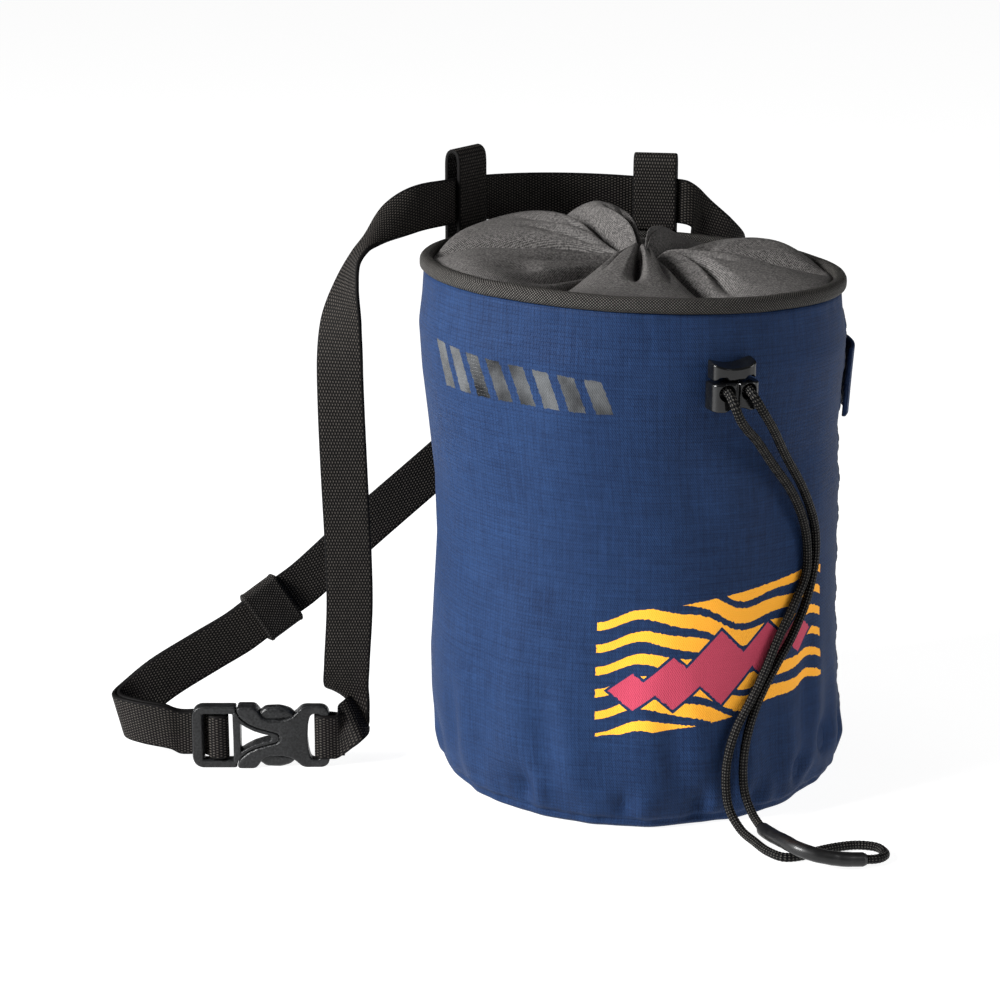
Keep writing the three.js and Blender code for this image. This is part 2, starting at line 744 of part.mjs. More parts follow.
function between(share) {
  return THREE.MathUtils.lerp(crossBarStart, sewnSlotStart, share);
}
function outlinePoints(rows) {
  return rows.map(({ u, v }) => [between(u), v * half]);
}
function mirrored(points) {
  const lower = points.filter(([, v]) => v > 0).map(([u, v]) => [u, -v]);
  return outlineShape([...points, ...lower.reverse()]);
}
// A plate of an outline, upright in the buckle's frame and centred on its middle plane
function plate(shape, thickness) {
  const geometry = new THREE.ExtrudeGeometry(shape, {
    depth: thickness,
    bevelEnabled: false,
    curveSegments: 4,
  });
  geometry.translate(0, 0, -thickness / 2);
  geometry.rotateX(radians(90));
  return solidOf(geometry);
}
function boxSolid(fromU, toU, tall, thickness) {
  const geometry = new THREE.BoxGeometry(toU - fromU, thickness, tall);
  geometry.translate((fromU + toU) / 2, 0, 0);
  return solidOf(geometry);
}

// The seam where the halves meet; the inner half's is moved inwards, less so where the seam runs level
function seamPoints(inset) {
  return outlinePoints(seamOutline).map(([u, v], i, list) => {
    const tip = i === list.length - 1;
    const level = (i + 1) / list.length;
    return [u - 1.4 * inset * Math.max(level, 0.6), tip ? 0 : v - inset * (1.3 - level)];
  });
}
const pocketTall = buckleTall - 2 * pocketWall;
const slotOverlap = 0.1;

function makeFemaleHalf() {
  const outer = mirrored([...seamPoints(0).reverse(), ...outlinePoints(receiverOutline)]);
  const end = buckleLength - endRadius / 8;
  const frame = mirrored([
    [sewnSlotStart - frameThick, 0],
    [sewnSlotStart - frameThick, half],
    [buckleLength - endRadius, half],
    [buckleLength - endRadius / 3, 0.9 * half],
    [end, 0.7 * half],
    [end, 0],
  ]);
  const slot = boxSolid(sewnSlotStart, sewnBar - barWide / 2, slotTall, buckleThick);
  const endThinning = boxSolid(sewnSlotStart, buckleLength + endRadius, slotTall, buckleThick);
  const thinBar = boxSolid(sewnBar - barWide / 2, sewnBar + barWide / 2, slotTall + slotOverlap, barThick);
  const pocket = boxSolid(crossBarStart - seamGap, between(pocketEndShare), pocketTall, pocketThick);
  return plate(outer, buckleThick)
    .add(plate(frame, sewnFrameThick))
    .subtract(endThinning)
    .subtract(slot)
    .subtract(pocket)
    .add(thinBar);
}
addPiece(buckle, "buckle_female", geometryOf(makeFemaleHalf()), charcoalPlastic);

function makeMaleHalf() {
  const [, innerSeam, ...guideSeam] = seamPoints(seamGap);
  const frameOutline = mirrored([
    [0, 0],
    [0, 0.7 * half],
    [endRadius / 3, 0.9 * half],
    [endRadius, half],
    [between(0.04) - seamGap / 2, half],
    [innerSeam[0], 0.87 * half],
    [between(0.073), 0.62 * half],
    [between(0.073), 0],
  ]);
  const root = crossBarStart - seamGap;
  const guide = mirrored([...guideSeam.reverse(), innerSeam, [root, 0.8 * half], [root, 0]]);
  const prong = outlinePoints(prongOutline);
  const mirroredProng = prong.map(([u, v]) => [u, -v]).reverse();
  const slots = boxSolid(endBarWide, crossBarStart, slotTall, buckleThick);
  const thinBar = boxSolid(grabBar - barWide / 2, grabBar + barWide / 2, slotTall + slotOverlap, barThick);
  const prongThick = pocketThick - 2 * seamGap;
  return plate(frameOutline, frameThick)
    .add(plate(guide, buckleThick - seamGap))
    .add(plate(outlineShape(prong), prongThick))
    .add(plate(outlineShape(mirroredProng), prongThick))
    .subtract(slots)
    .subtract(plate(mirrored(outlinePoints(windowOutline)), buckleThick))
    .add(thinBar);
}
addPiece(buckle, "buckle_male", geometryOf(makeMaleHalf()), charcoalPlastic);

// The cord lock, sewn on the front: a body with two cord holes and a press button over it
const lock = new THREE.Group();
const lockMiddle = lockBottom + (lockBodyTall + lockTravel + lockButtonTall) / 2;
const lockSeat = Math.max(
  ...[0, 0.5, 1].map((share) => {
    const z = lockBottom + share * 2 * (lockMiddle - lockBottom);
    return -wallPoint(-90, z / rimHeight(-90)).y;
  }),
);
lock.position.set(0, -lockSeat - lockClearance, lockBottom);
bag.add(lock);
const lockHoleHeight = 0.68 * lockBodyTall;

function makeLockBody() {
  const wide = lockWidth / 2;
  const groove = 0.6;
  const plan = outlineShape([
    [-wide, 0],
    [-wide, -0.7 * lockDepth],
    [-wide + 0.8, -0.9 * lockDepth],
    [-wide + 2.4, -lockDepth],
    [-groove, -lockDepth],
    [-groove, -0.86 * lockDepth],
    [groove, -0.86 * lockDepth],
    [groove, -lockDepth],
    [wide - 2.4, -lockDepth],
    [wide - 0.8, -0.9 * lockDepth],
    [wide, -0.7 * lockDepth],
    [wide, 0],
  ]);
  const block = new THREE.ExtrudeGeometry(plan, { depth: lockBodyTall, bevelEnabled: false });
  let body = solidOf(block);
  for (const side of [-1, 1]) {
    const hole = new THREE.CylinderGeometry(lockHoleRadius, lockHoleRadius, 3 * lockDepth, 14);
    hole.translate((side * lockHoleSpacing) / 2, 0, lockHoleHeight);
    body = body.subtract(solidOf(hole));
  }
  return geometryOf(body);
}
addPiece(lock, "cord_lock_body", makeLockBody(), blackPlastic);

// The button's top is a saddle for the thumb
function makeLockButton() {
  const wide = lockWidth / 2 - lockButtonInset;
  const shape = new THREE.Shape();
  shape.moveTo(-wide, 0);
  shape.lineTo(wide, 0);
  shape.lineTo(wide, 0.72 * lockButtonTall);
  shape.lineTo(wide - 1.3, lockButtonTall);
  shape.quadraticCurveTo(0, 0.56 * lockButtonTall, -wide + 1.3, lockButtonTall);
  shape.lineTo(-wide, 0.72 * lockButtonTall);
  const depth = lockDepth - 1;
  const geometry = new THREE.ExtrudeGeometry(shape, { depth, bevelEnabled: false, curveSegments: 8 });
  geometry.rotateX(radians(90));
  return geometry;
}
const lockButton = addPiece(lock, "cord_lock_button", makeLockButton(), blackPlastic);
lockButton.position.z = lockBodyTall + lockTravel;

// The draw cord and the shrink sleeve that joins its two strands
const cordCurve = new THREE.CatmullRomCurve3(cordRoute.map((point) => new THREE.Vector3(...point)));
function polygon(radius, sides, Kind = THREE.Shape) {
  return new Kind(
    Array.from({ length: sides }, (_, i) => {
      const turn = radians((360 * i) / sides);
      return new THREE.Vector2(radius * Math.cos(turn), radius * Math.sin(turn));
    }),
  );
}
const cordGeometry = new THREE.ExtrudeGeometry(polygon(cordDiameter / 2, 8), {
  steps: cordSteps,
  bevelEnabled: false,
  extrudePath: cordCurve,
});
addPiece(bag, "draw_cord", cordGeometry, braid);

function makeSleeve() {
  const sides = 10;
  const stretch = sleeveTo - sleeveFrom;
  const bore = cordDiameter / 2 + sleeveClearance;
  const places = Array.from({ length: stretch + 1 }, (_, i) =>
    cordCurve.getPointAt((sleeveFrom + i) / cordSteps),
  );
  const shape = polygon(bore + sleeveWall, sides);
  shape.holes.push(polygon(bore, sides, THREE.Path));
  return new THREE.ExtrudeGeometry(shape, {
    steps: stretch,
    bevelEnabled: false,
    extrudePath: new THREE.CatmullRomCurve3(places),
  });
}
addPiece(bag, "cord_sleeve", makeSleeve(), shrinkPlastic);

// The brush loop: a band of the bag's cloth that leaves the side seam and lies round the wall
function makeBrushLoop() {
  const rows = [
    { angle: -26, out: 0 },
    { angle: -23, out: 0.9 },
    { angle: -17, out: 1.9 },
    { angle: -9, out: 2.1 },
    { angle: -2, out: 1.2 },
    { angle: 3, out: 0 },
  ];
  const rings = rows.map(({ angle, out }) => {
    const corner = (z, extra) =>
      wallPoint(angle, z / rimHeight(angle), seamGap + brushLoopStandOff + out + extra).setZ(z);
    const top = brushLoopBottom + brushLoopTall;
    return [
      corner(brushLoopBottom, 0),
      corner(top, 0),
      corner(top, brushLoopWall),
      corner(brushLoopBottom, brushLoopWall),
    ];
  });
  return skin(rings);
}
addPiece(bag, "brush_loop", makeBrushLoop(), blueCloth);

export default bag;
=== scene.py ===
import bmesh
import bpy
import numpy as np
from math import radians
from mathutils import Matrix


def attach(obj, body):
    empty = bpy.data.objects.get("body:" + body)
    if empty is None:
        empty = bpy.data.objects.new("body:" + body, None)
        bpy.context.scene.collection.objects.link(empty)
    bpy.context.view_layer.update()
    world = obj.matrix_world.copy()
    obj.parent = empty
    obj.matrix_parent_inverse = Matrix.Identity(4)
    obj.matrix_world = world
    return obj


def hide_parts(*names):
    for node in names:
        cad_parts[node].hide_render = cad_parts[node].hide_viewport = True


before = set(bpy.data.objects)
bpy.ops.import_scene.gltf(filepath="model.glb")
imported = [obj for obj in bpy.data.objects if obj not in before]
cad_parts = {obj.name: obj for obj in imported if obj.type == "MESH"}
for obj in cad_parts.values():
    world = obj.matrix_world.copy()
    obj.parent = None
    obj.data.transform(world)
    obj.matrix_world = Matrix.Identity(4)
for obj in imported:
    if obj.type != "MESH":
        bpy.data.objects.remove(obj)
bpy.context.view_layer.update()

# A climbing chalk bag. Lengths in the settings are millimetres and are turned into metres by mm.
mm = 0.001


# An object of the scene for a mesh, a curve, a camera or a lamp.
def addObject(name, data):
    thing = bpy.data.objects.new(name, data)
    bpy.context.scene.collection.objects.link(thing)
    return thing


# camera and view
cameraView = {"place": (-0.3772, -0.8183, 0.363), "turn": (73.18, 0, -22), "lens": 101.52, "sensor": 36,
              "farthest": 60}
cameraData = bpy.data.cameras.new("photo_camera")
cameraData.lens = cameraView["lens"]
cameraData.sensor_width = cameraView["sensor"]
cameraData.clip_end = cameraView["farthest"]
photoCamera = addObject("photo_camera", cameraData)
photoCamera.location = cameraView["place"]
photoCamera.rotation_euler = [radians(turn) for turn in cameraView["turn"]]
bpy.context.scene.camera = photoCamera


# shapes as arrays

# Centripetal Catmull-Rom curve through the points, count steps for each span:
# each span is a cubic whose end slopes are the divided differences of its neighbours.
def smoothPath(points, count):
    points = np.asarray(points, float)
    p = np.vstack([2 * points[0] - points[1], points, 2 * points[-1] - points[-2]])
    gap = np.maximum(np.linalg.norm(np.diff(p, axis=0), axis=1), 1e-6) ** 0.5
    p0, p1, p2, p3 = p[:-3], p[1:-2], p[2:-1], p[3:]
    d0, d1, d2 = gap[:-2, None], gap[1:-1, None], gap[2:, None]
    slopeA = ((p1 - p0) / d0 - (p2 - p0) / (d0 + d1) + (p2 - p1) / d1) * d1
    slopeB = ((p2 - p1) / d1 - (p3 - p1) / (d1 + d2) + (p3 - p2) / d2) * d1
    s = (np.arange(count) / count)[None, :, None]
    a, b, ta, tb = (value[:, None, :] for value in (p1, p2, slopeA, slopeB))
    spans = a + ta * s + (-3 * a + 3 * b - 2 * ta - tb) * s**2 + (2 * a - 2 * b + ta + tb) * s**3
    return np.vstack([spans.reshape(-1, points.shape[1]), points[-1:]])


# Distance walked along a path of points.
def walked(path):
    return np.concatenate([[0], np.cumsum(np.linalg.norm(np.diff(path[:, :3], axis=0), axis=1))])


# The same path at equal steps: every column is read off at even distances along it.
def evenPath(path, step):
    along = walked(path)
    places = np.linspace(0, along[-1], max(8, int(round(along[-1] / step))) + 1)
    return np.column_stack([np.interp(places, along, column) for column in path.T])


# Each vector divided by its own length.
def unit(vectors):
    return vectors / np.maximum(np.linalg.norm(vectors, axis=-1, keepdims=True), 1e-12)


# The unit direction in which a path runs at each of its points.
def headings(path):
    return unit(np.gradient(path[:, :3], axis=0))


# A smooth rise from 0 at low to 1 at high: 3t^2 - 2t^3.
def ease(value, low, high):
    t = np.clip((value - low) / (high - low), 0, 1)
    return t * t * (3 - 2 * t)


# Smooth seeded noise on a line or a circle: a few sines of rising pitch and falling size.
def waves(turn, seed, lowest=1, octaves=5, loops=True):
    rng = np.random.default_rng(seed)
    total = np.zeros_like(turn, dtype=float)
    for octave in range(octaves):
        pitch = lowest * (octave + 1) if loops else lowest * (octave + 1) * rng.uniform(0.8, 1.2)
        total += np.sin(pitch * turn + rng.uniform(0, 6.28)) / (octave + 1) ** 0.8
    return total / 2


# A mesh changed by steps of bmesh work, one after the other.
def editMesh(mesh, *steps):
    edit = bmesh.new()
    edit.from_mesh(mesh)
    for step in steps:
        step(edit)
    edit.to_mesh(mesh)
    edit.free()
    return mesh


# Steps for editMesh: points nearer than a distance become one, and faces look outwards.
def weld(distance):
    return lambda edit: bmesh.ops.remove_doubles(edit, verts=edit.verts, dist=distance)


def lookOutwards(edit):
    bmesh.ops.recalc_face_normals(edit, faces=edit.faces)


def smoothFaces(mesh):
    mesh.polygons.foreach_set("use_smooth", np.ones(len(mesh.polygons), bool))


# One closed mesh from a grid of points: neighbours in the grid make a face, each row closes on itself,
# the last row may meet the first, and rows whose points all meet become poles.
def gridMesh(name, points, uv=None, closeRows=False):
    rows, columns = points.shape[:2]
    index = np.arange(rows * columns).reshape(rows, columns)
    index = np.hstack([index, index[:, :1]])
    if closeRows:
        index = np.vstack([index, index[:1]])
    corners = [(slice(None, -1), slice(None, -1)), (slice(None, -1), slice(1, None)),
               (slice(1, None), slice(1, None)), (slice(1, None), slice(None, -1))]
    quads = np.stack([index[c] for c in corners], axis=-1).reshape(-1, 4)
    flat = points.reshape(-1, 3)
    a, b, c, d = (flat[quads[:, i]] for i in range(4))
    volume = np.einsum("ij,ij->i", a, np.cross(b, c)).sum() + np.einsum("ij,ij->i", a, np.cross(c, d)).sum()
    order = [0, 1, 2, 3] if volume > 0 else [3, 2, 1, 0]
    mesh = bpy.data.meshes.new(name)
    mesh.vertices.add(len(flat))
    mesh.vertices.foreach_set("co", flat.ravel())
    mesh.loops.add(quads.size)
    mesh.loops.foreach_set("vertex_index", quads[:, order].ravel())
    mesh.polygons.add(len(quads))
    mesh.polygons.foreach_set("loop_start", np.arange(0, quads.size, 4))
    mesh.update(calc_edges=True)
    smoothFaces(mesh)
    if uv is not None:
        layer = mesh.uv_layers.new(name="cloth")
        cornerUv = np.stack([uv[c] for c in corners], axis=-2).reshape(-1, 4, 2)
        layer.data.foreach_set("uv", cornerUv[:, order].ravel())
    return editMesh(mesh, weld(1e-7))


# Rows of a tube closed by a pole at each end: the middle of the end row, repeated.
def capped(body):
    first, last = (np.repeat(body[i].mean(axis=0)[None, None], body.shape[1], axis=1) for i in (0, -1))
    return np.concatenate([first, body, last])


# A tube or strap: a section carried along a path. Each section point is an amount along side and up.
def sweptGrid(path, side, up, section):
    return capped(path[:, None, :] + section[..., 0, None] * side[:, None, :]
                  + section[..., 1, None] * up[:, None, :])


# A grid's own map: a place along for each row and a place across for each column.
def gridUv(along, across):
    return np.stack(np.meshgrid(along, across, indexing="ij"), axis=-1)


# The map of a swept grid in metres: distance along the path and the given place across it.
def sweptUv(path, across):
    along = walked(path)
    return gridUv(np.concatenate([along[:1], along, along[-1:]]), across)


# A flat ring of points as a closed path.
def closedPath(ring):
    closed = np.vstack([ring, ring[:1]])
    return np.column_stack([closed, np.zeros(len(closed))])


# A rounded rectangle as a closed ring of points: a box with quarter circles at its corners.
def roundedSection(width, height, radius, cornerSteps=5, sideSteps=6):
    turn = np.linspace(0, np.pi / 2, cornerSteps)
    centres = [(1, 1), (-1, 1), (-1, -1), (1, -1)]
    ring = []
    for i, (sx, sy) in enumerate(centres):
        arc = np.column_stack([np.cos(turn + i * np.pi / 2), np.sin(turn + i * np.pi / 2)]) * radius
        ring.append(arc + [sx * (width / 2 - radius), sy * (height / 2 - radius)])
    points = []
    for i in range(4):
        start, end = ring[i][-1], ring[(i + 1) % 4][0]
        between = np.arange(1, sideSteps) / sideSteps
        points += [ring[i], start + (end - start) * between[:, None]]
    return np.vstack(points)


# Turning-free frame for a round cord: the side is carried along and kept square to the path.
def carriedFrame(path):
    ahead = headings(path)
    side = np.zeros_like(ahead)
    start = np.cross(ahead[0], [0, 0, 1.0])
    side[0] = start / np.linalg.norm(start)
    for i in range(1, len(ahead)):
        kept = side[i - 1] - ahead[i] * np.dot(side[i - 1], ahead[i])
        side[i] = kept / np.linalg.norm(kept)
    return side, np.cross(ahead, side)


# Many small stitches as one mesh: each is a low half-buried bead, longer along its seam.
def stitchMesh(name, middles, along, up, length, thick):
    ring = np.linspace(0, 2 * np.pi, 6, endpoint=False)
    stops = np.array([-1, -0.8, -0.3, 0.3, 0.8, 1])
    swell = np.array([0.02, 0.72, 1, 1, 0.72, 0.02])
    side = unit(np.cross(along, up))
    bead = (stops[:, None, None] * length / 2 * along[:, None, None, :]
            + swell[:, None, None] * thick / 2 * (np.cos(ring)[:, None] * side[:, None, None, :]
                                                  + np.sin(ring)[:, None] * up[:, None, None, :]))
    points = (middles[:, None, None, :] + bead).reshape(-1, 3)
    count, rows, columns = len(middles), len(stops), len(ring)
    index = np.arange(rows * columns).reshape(rows, columns)
    index = np.hstack([index, index[:, :1]])
    quads = np.stack([index[:-1, :-1], index[:-1, 1:], index[1:, 1:], index[1:, :-1]], -1).reshape(-1, 4)
    caps = [index[0, :-1][::-1], index[-1, :-1]]
    faces = [face + i * rows * columns for i in range(count) for face in list(quads) + caps]
    mesh = bpy.data.meshes.new(name)
    mesh.from_pydata(points.tolist(), [], [face.tolist() for face in faces])
    smoothFaces(mesh)
    return editMesh(mesh, lookOutwards)


# An object of its own for a mesh; nodes are the CAD solids that it stands for.
def addPiece(mesh, material, slot, *nodes):
    piece = addObject(mesh.name, mesh)
    piece.data.materials.append(material)
    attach(piece, "root")
    if nodes:
        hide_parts(*nodes)
    return piece


# materials: a small sum-and-product notation over Math nodes, so that a pattern reads as its formula

# one number at each point of a surface, as a socket of the material's tree
class Field:
    def __init__(self, tree, socket):
        self.tree = tree
        self.socket = socket

    def math(self, operation, *others):
        node = self.tree.nodes.new("ShaderNodeMath")
        node.operation = operation
        for slot, value in zip(node.inputs, (self, *others)):
            if isinstance(value, Field):
                self.tree.links.new(value.socket, slot)
            else:
                slot.default_value = value
        return Field(self.tree, node.outputs[0])

    def __add__(self, other):
        return self.math("ADD", other)

    def __sub__(self, other):
        return self.math("SUBTRACT", other)

    def __mul__(self, other):
        return self.math("MULTIPLY", other)

    def __lt__(self, other):
        return self.math("LESS_THAN", other)

    def __gt__(self, other):
        return self.math("GREATER_THAN", other)

    def sine(self, pitch, shift=0.0):
        return (self * (2 * np.pi / pitch) + shift).math("SINE")

    def fraction(self):
        return self.math("FRACT")

    def size(self):
        return self.math("ABSOLUTE")

    def least(self, other):
        return self.math("MINIMUM", other)

    # 0 below low, 1 above high, straight between them
    def ramp(self, low, high):
        node = self.tree.nodes.new("ShaderNodeMapRange")
        for name, value in (("From Min", low), ("From Max", high)):
            node.inputs[name].default_value = value
        self.tree.links.new(self.socket, node.inputs["Value"])
        return Field(self.tree, node.outputs["Result"])


# a material under way: its shader, its coordinates and the patterns linked to them
class Finish:
    def __init__(self, name, roughness=0.7, **sockets):
        self.material = bpy.data.materials.new(name)
        self.material.use_nodes = True
        self.tree = self.material.node_tree
        self.shader = self.tree.nodes["Principled BSDF"]
        self.shader.inputs["Roughness"].default_value = roughness
        for socket, value in sockets.items():
            self.shader.inputs[socket.replace("_", " ")].default_value = value
        self.places = self.tree.nodes.new("ShaderNodeTexCoord")

    # u and v of the piece's own map, in metres
    def map(self):
        split = self.tree.nodes.new("ShaderNodeSeparateXYZ")
        self.tree.links.new(self.places.outputs["UV"], split.inputs[0])
        return Field(self.tree, split.outputs[0]), Field(self.tree, split.outputs[1])

    def noise(self, scale, detail=3, uv=False, stretch=(1, 1, 1)):
        turn = self.tree.nodes.new("ShaderNodeMapping")
        turn.inputs["Scale"].default_value = stretch
        self.tree.links.new(self.places.outputs["UV" if uv else "Object"], turn.inputs["Vector"])
        node = self.tree.nodes.new("ShaderNodeTexNoise")
        node.inputs["Scale"].default_value = scale
        node.inputs["Detail"].default_value = detail
        self.tree.links.new(turn.outputs[0], node.inputs["Vector"])
        return Field(self.tree, node.outputs["Fac"])

    # a colour between two others, by a field from 0 to 1
    def blend(self, share, low, high):
        node = self.tree.nodes.new("ShaderNodeMix")
        node.data_type = "RGBA"
        self.tree.links.new(share.socket, node.inputs["Factor"])
        for slot, value in ((node.inputs[6], low), (node.inputs[7], high)):
            if isinstance(value, bpy.types.NodeSocket):
                self.tree.links.new(value, slot)
            else:
                slot.default_value = (*value, 1)
        return node.outputs[2]

    def colour(self, socket):
        self.tree.links.new(socket, self.shader.inputs["Base Color"])

    def rough(self, field):
        self.tree.links.new(field.socket, self.shader.inputs["Roughness"])

    def relief(self, field, height, strength=1.0):
        bump = self.tree.nodes.new("ShaderNodeBump")
        bump.inputs["Distance"].default_value = height
        bump.inputs["Strength"].default_value = strength
        self.tree.links.new(field.socket, bump.inputs["Height"])
        before = self.shader.inputs["Normal"].links
        if before:
            self.tree.links.new(before[0].from_socket, bump.inputs["Normal"])
        self.tree.links.new(bump.outputs[0], self.shader.inputs["Normal"])


# A screen colour (0 to 255) as the linear values that Blender works in.
def tint(red, green, blue):
    share = np.array([red, green, blue]) / 255
    return tuple(np.where(share < 0.04045, share / 12.92, ((share + 0.055) / 1.055) ** 2.4).tolist())


# what is printed on the blue cloth: wavy bands in a slanted frame, lozenges over them, and bars
printSettings = {
    "amber": tint(255, 176, 52), "rose": tint(182, 66, 88), "opacity": 0.97, "frayed": 0.9 * mm, "gap": 1.3,
    "left": -42 * mm, "right": 45 * mm, "low": 37 * mm, "high": 77 * mm, "slant": 0.12,
    "swell": 58 * mm, "swellTall": 3.1 * mm, "ripple": 23 * mm, "rippleTall": 0.8 * mm, "climb": 0.1,
    "pitch": 7.2 * mm, "share": 0.53, "shareSwell": 0.17, "shareLength": 96 * mm}
lozenges = [  # middle along and up the cloth, half width and half height, in mm
    (-30, 47, 8, 6), (-17, 50, 10, 8.5), (-1, 54, 12.5, 12), (17, 57, 11, 9.5), (31.5, 60, 7.5, 6.5)]
# bars: their black ink, and the grey of a painted sheen that noise patches lay over it
barSettings = {
    "ink": tint(20, 21, 23), "painted_sheen_grey": tint(84, 86, 88), "lean": 0.36, "pitch": 8.4 * mm, "share": 0.64,
    "from": -50.4 * mm, "to": 16.8 * mm, "low": 136 * mm, "top": 150 * mm, "fall": -0.06}


# A band shows where the height, moved by two sines along the cloth, is in the first part of its pitch.
def bandMask(u, v):
    s = printSettings
    wavy = v + u.sine(s["swell"], 0.7) * s["swellTall"] + u.sine(s["ripple"]) * s["rippleTall"]
    wavy = wavy + u * s["climb"]
    thick = u.sine(s["shareLength"], 1.4) * s["shareSwell"] + s["share"]
    bands = (wavy * (1 / s["pitch"])).fraction() < thick
    slant = v - u * s["slant"]
    inside = (u > s["left"]) * (u < s["right"]) * (slant > s["low"]) * (slant < s["high"])
    return bands * inside


# Lozenges in a row that climbs to the right: inside where the sum of the two shares is under 1.
def lozengeMask(u, v, grow):
    total = None
    for middleU, middleV, wide, tall in lozenges:
        reach = ((u - middleU * mm).size() * (1 / ((wide + grow) * mm))
                 + (v - middleV * mm).size() * (1 / ((tall + grow) * mm)))
        total = reach if total is None else total.least(reach)
    return total < 1


# Slanted bars that grow shorter to the right: the height is added to the place along before it is cut up.
def barMask(u, v):
    s = barSettings
    lean = u + v * s["lean"]
    bars = (lean * (1 / s["pitch"])).fraction() < s["share"]
    top = (lean - s["from"]) * s["fall"] + s["top"]
    return bars * (v > s["low"]) * (v < top) * (lean > s["from"]) * (lean < s["to"])


blueSettings = {"deep": tint(13, 27, 54), "lit": tint(32, 55, 92), "grid": 1.15 * mm, "twill": 0.7 * mm}


# Blue cloth: fine ripstop squares over a twill, slubs along both threads, and the print laid on it, with a
# painted sheen of grey patches over its black bars.
def makeBlueCloth():
    finish = Finish("blue_cloth", 0.6, Specular_IOR_Level=0.1)
    u, v = finish.map()
    cells = (u.sine(2 * blueSettings["grid"]).size()).least(v.sine(2 * blueSettings["grid"]).size())
    lines = cells.ramp(0.0, 0.45)
    twill = (u + v * 0.6).sine(blueSettings["twill"])
    slubs = (finish.noise(60, 4, uv=True, stretch=(1, 14, 1))
             + finish.noise(60, 4, uv=True, stretch=(14, 1, 1)))
    broad = finish.noise(28, 2)
    threads = slubs * 0.36 + broad * 0.22 + lines * 0.16 + twill * 0.07 + finish.noise(1100, 2) * 0.3
    cloth = finish.blend(threads.ramp(0.5, 0.98), blueSettings["deep"], blueSettings["lit"])
    edge = finish.noise(900, 2) * printSettings["frayed"] - printSettings["frayed"] / 2
    bands = bandMask(u + edge, v + edge)
    clear = (lozengeMask(u, v, printSettings["gap"]) - 1) * -1
    amber = bands * clear
    rose = lozengeMask(u + edge, v + edge, 0)
    cloth = finish.blend(amber * printSettings["opacity"], cloth, printSettings["amber"])
    cloth = finish.blend(rose * printSettings["opacity"], cloth, printSettings["rose"])
    bars = barMask(u + edge, v + edge)
    # painted sheen: noise patches blend the bars' black ink towards grey, standing in for light reflected off
    # the glossy ink
    sheen = finish.noise(70, 3).ramp(0.35, 0.65)
    cloth = finish.blend(bars, cloth, finish.blend(sheen, barSettings["ink"], barSettings["painted_sheen_grey"]))
    finish.colour(cloth)
    finish.rough(bars * -0.36 + (amber + rose) * -0.1 + slubs * 0.08 + 0.54)
    finish.relief(lines * 0.5 + twill * 0.35, 0.12 * mm, 0.9)
    finish.relief(finish.noise(160, 3), 0.5 * mm, 0.5)
    return finish.material


# Grey closure cloth: a plain weave of two sines under fine flecks.
def makeClosureCloth():
    finish = Finish("closure_cloth", 0.6, Specular_IOR_Level=0.12)
    u, v = finish.map()
    pitch = 0.85 * mm
    weave = u.sine(pitch) * v.sine(pitch)
    share = (finish.noise(1500, 2) * 0.7 + weave * 0.2).ramp(0.2, 0.6)
    finish.colour(finish.blend(share, tint(37, 36, 36), tint(114, 111, 109)))
    finish.relief(weave, 0.06 * mm, 0.7)
    finish.relief(finish.noise(300, 3), 0.4 * mm, 0.5)
    return finish.material


# Binding tape: floats in lozenges, from two sines that run along its two diagonals.
def makeBindingTape():
    finish = Finish("binding_tape", 0.6, Specular_IOR_Level=0.1)
    u, v = finish.map()
    pitch = 1.9 * mm
    floats = ((u + v).sine(pitch) * (u - v).sine(pitch)).size()
    share = (floats + finish.noise(900, 1) * 0.3).ramp(0.55, 1.12)
    finish.colour(finish.blend(share, tint(9, 9, 9), tint(100, 97, 93)))
    finish.relief(floats, 0.2 * mm, 0.9)
    return finish.material


# Webbing: brick-like floats, each rib half a float on from the one before it, and none past half, where
# the selvedge starts.
def makeWebbing(name, low, high, rib, pitch, half):
    finish = Finish(name, 0.6, Specular_IOR_Level=0.07)
    u, v = finish.map()
    ribs = u.sine(2 * rib).size()
    shift = (u * (1 / rib)).math("FLOOR") * np.pi
    floats = (v * (2 * np.pi / pitch) + shift).math("SINE") * 0.5 + 0.5
    weave = ribs * floats * (v.size() < half)
    share = (weave + finish.noise(500, 2) * 0.3).ramp(0.45, 1.1)
    finish.colour(finish.blend(share, low, high))
    finish.relief(weave, 0.25 * mm, 0.9)
    return finish.material


# Moulded plastic with a fine spark-eroded grain.
def makeBucklePlastic():
    finish = Finish("buckle_plastic", 0.42, Specular_IOR_Level=0.3)
    grain = finish.noise(1300, 3)
    finish.colour(finish.blend(grain.ramp(0.35, 0.75), tint(10, 10, 11), tint(36, 37, 38)))
    finish.rough(grain * 0.3 + 0.22)
    finish.relief(grain, 0.22 * mm, 0.8)
    return finish.material


# Glossy plastic: its roughness is a base with some smudges.
def makeGlossPlastic(name, low, high, base, spread):
    finish = Finish(name, base, Specular_IOR_Level=0.32, Coat_Weight=0.12, Coat_Roughness=0.06)
    smudge = finish.noise(350, 4)
    finish.colour(finish.blend(smudge.ramp(0.3, 0.7), low, high))
    finish.rough(smudge * spread + base)
    finish.relief(finish.noise(500, 2), 0.05 * mm, 0.3)
    return finish.material


# Two sets of strands turn round the cord; where they cross, a light fleck shows.
def makeBraid():
    finish = Finish("braided_cord", 0.5, Specular_IOR_Level=0.08)
    u, v = finish.map()
    along = u * (1 / (2.1 * mm))
    crossing = (along + v * 5).sine(1.0) * (along - v * 5).sine(1.0)
    share = (crossing + finish.noise(900, 1) * 0.3).ramp(0.45, 0.95)
    finish.colour(finish.blend(share, tint(6, 6, 7), tint(72, 70, 66)))
    finish.relief(crossing, 0.18 * mm, 0.8)
    return finish.material


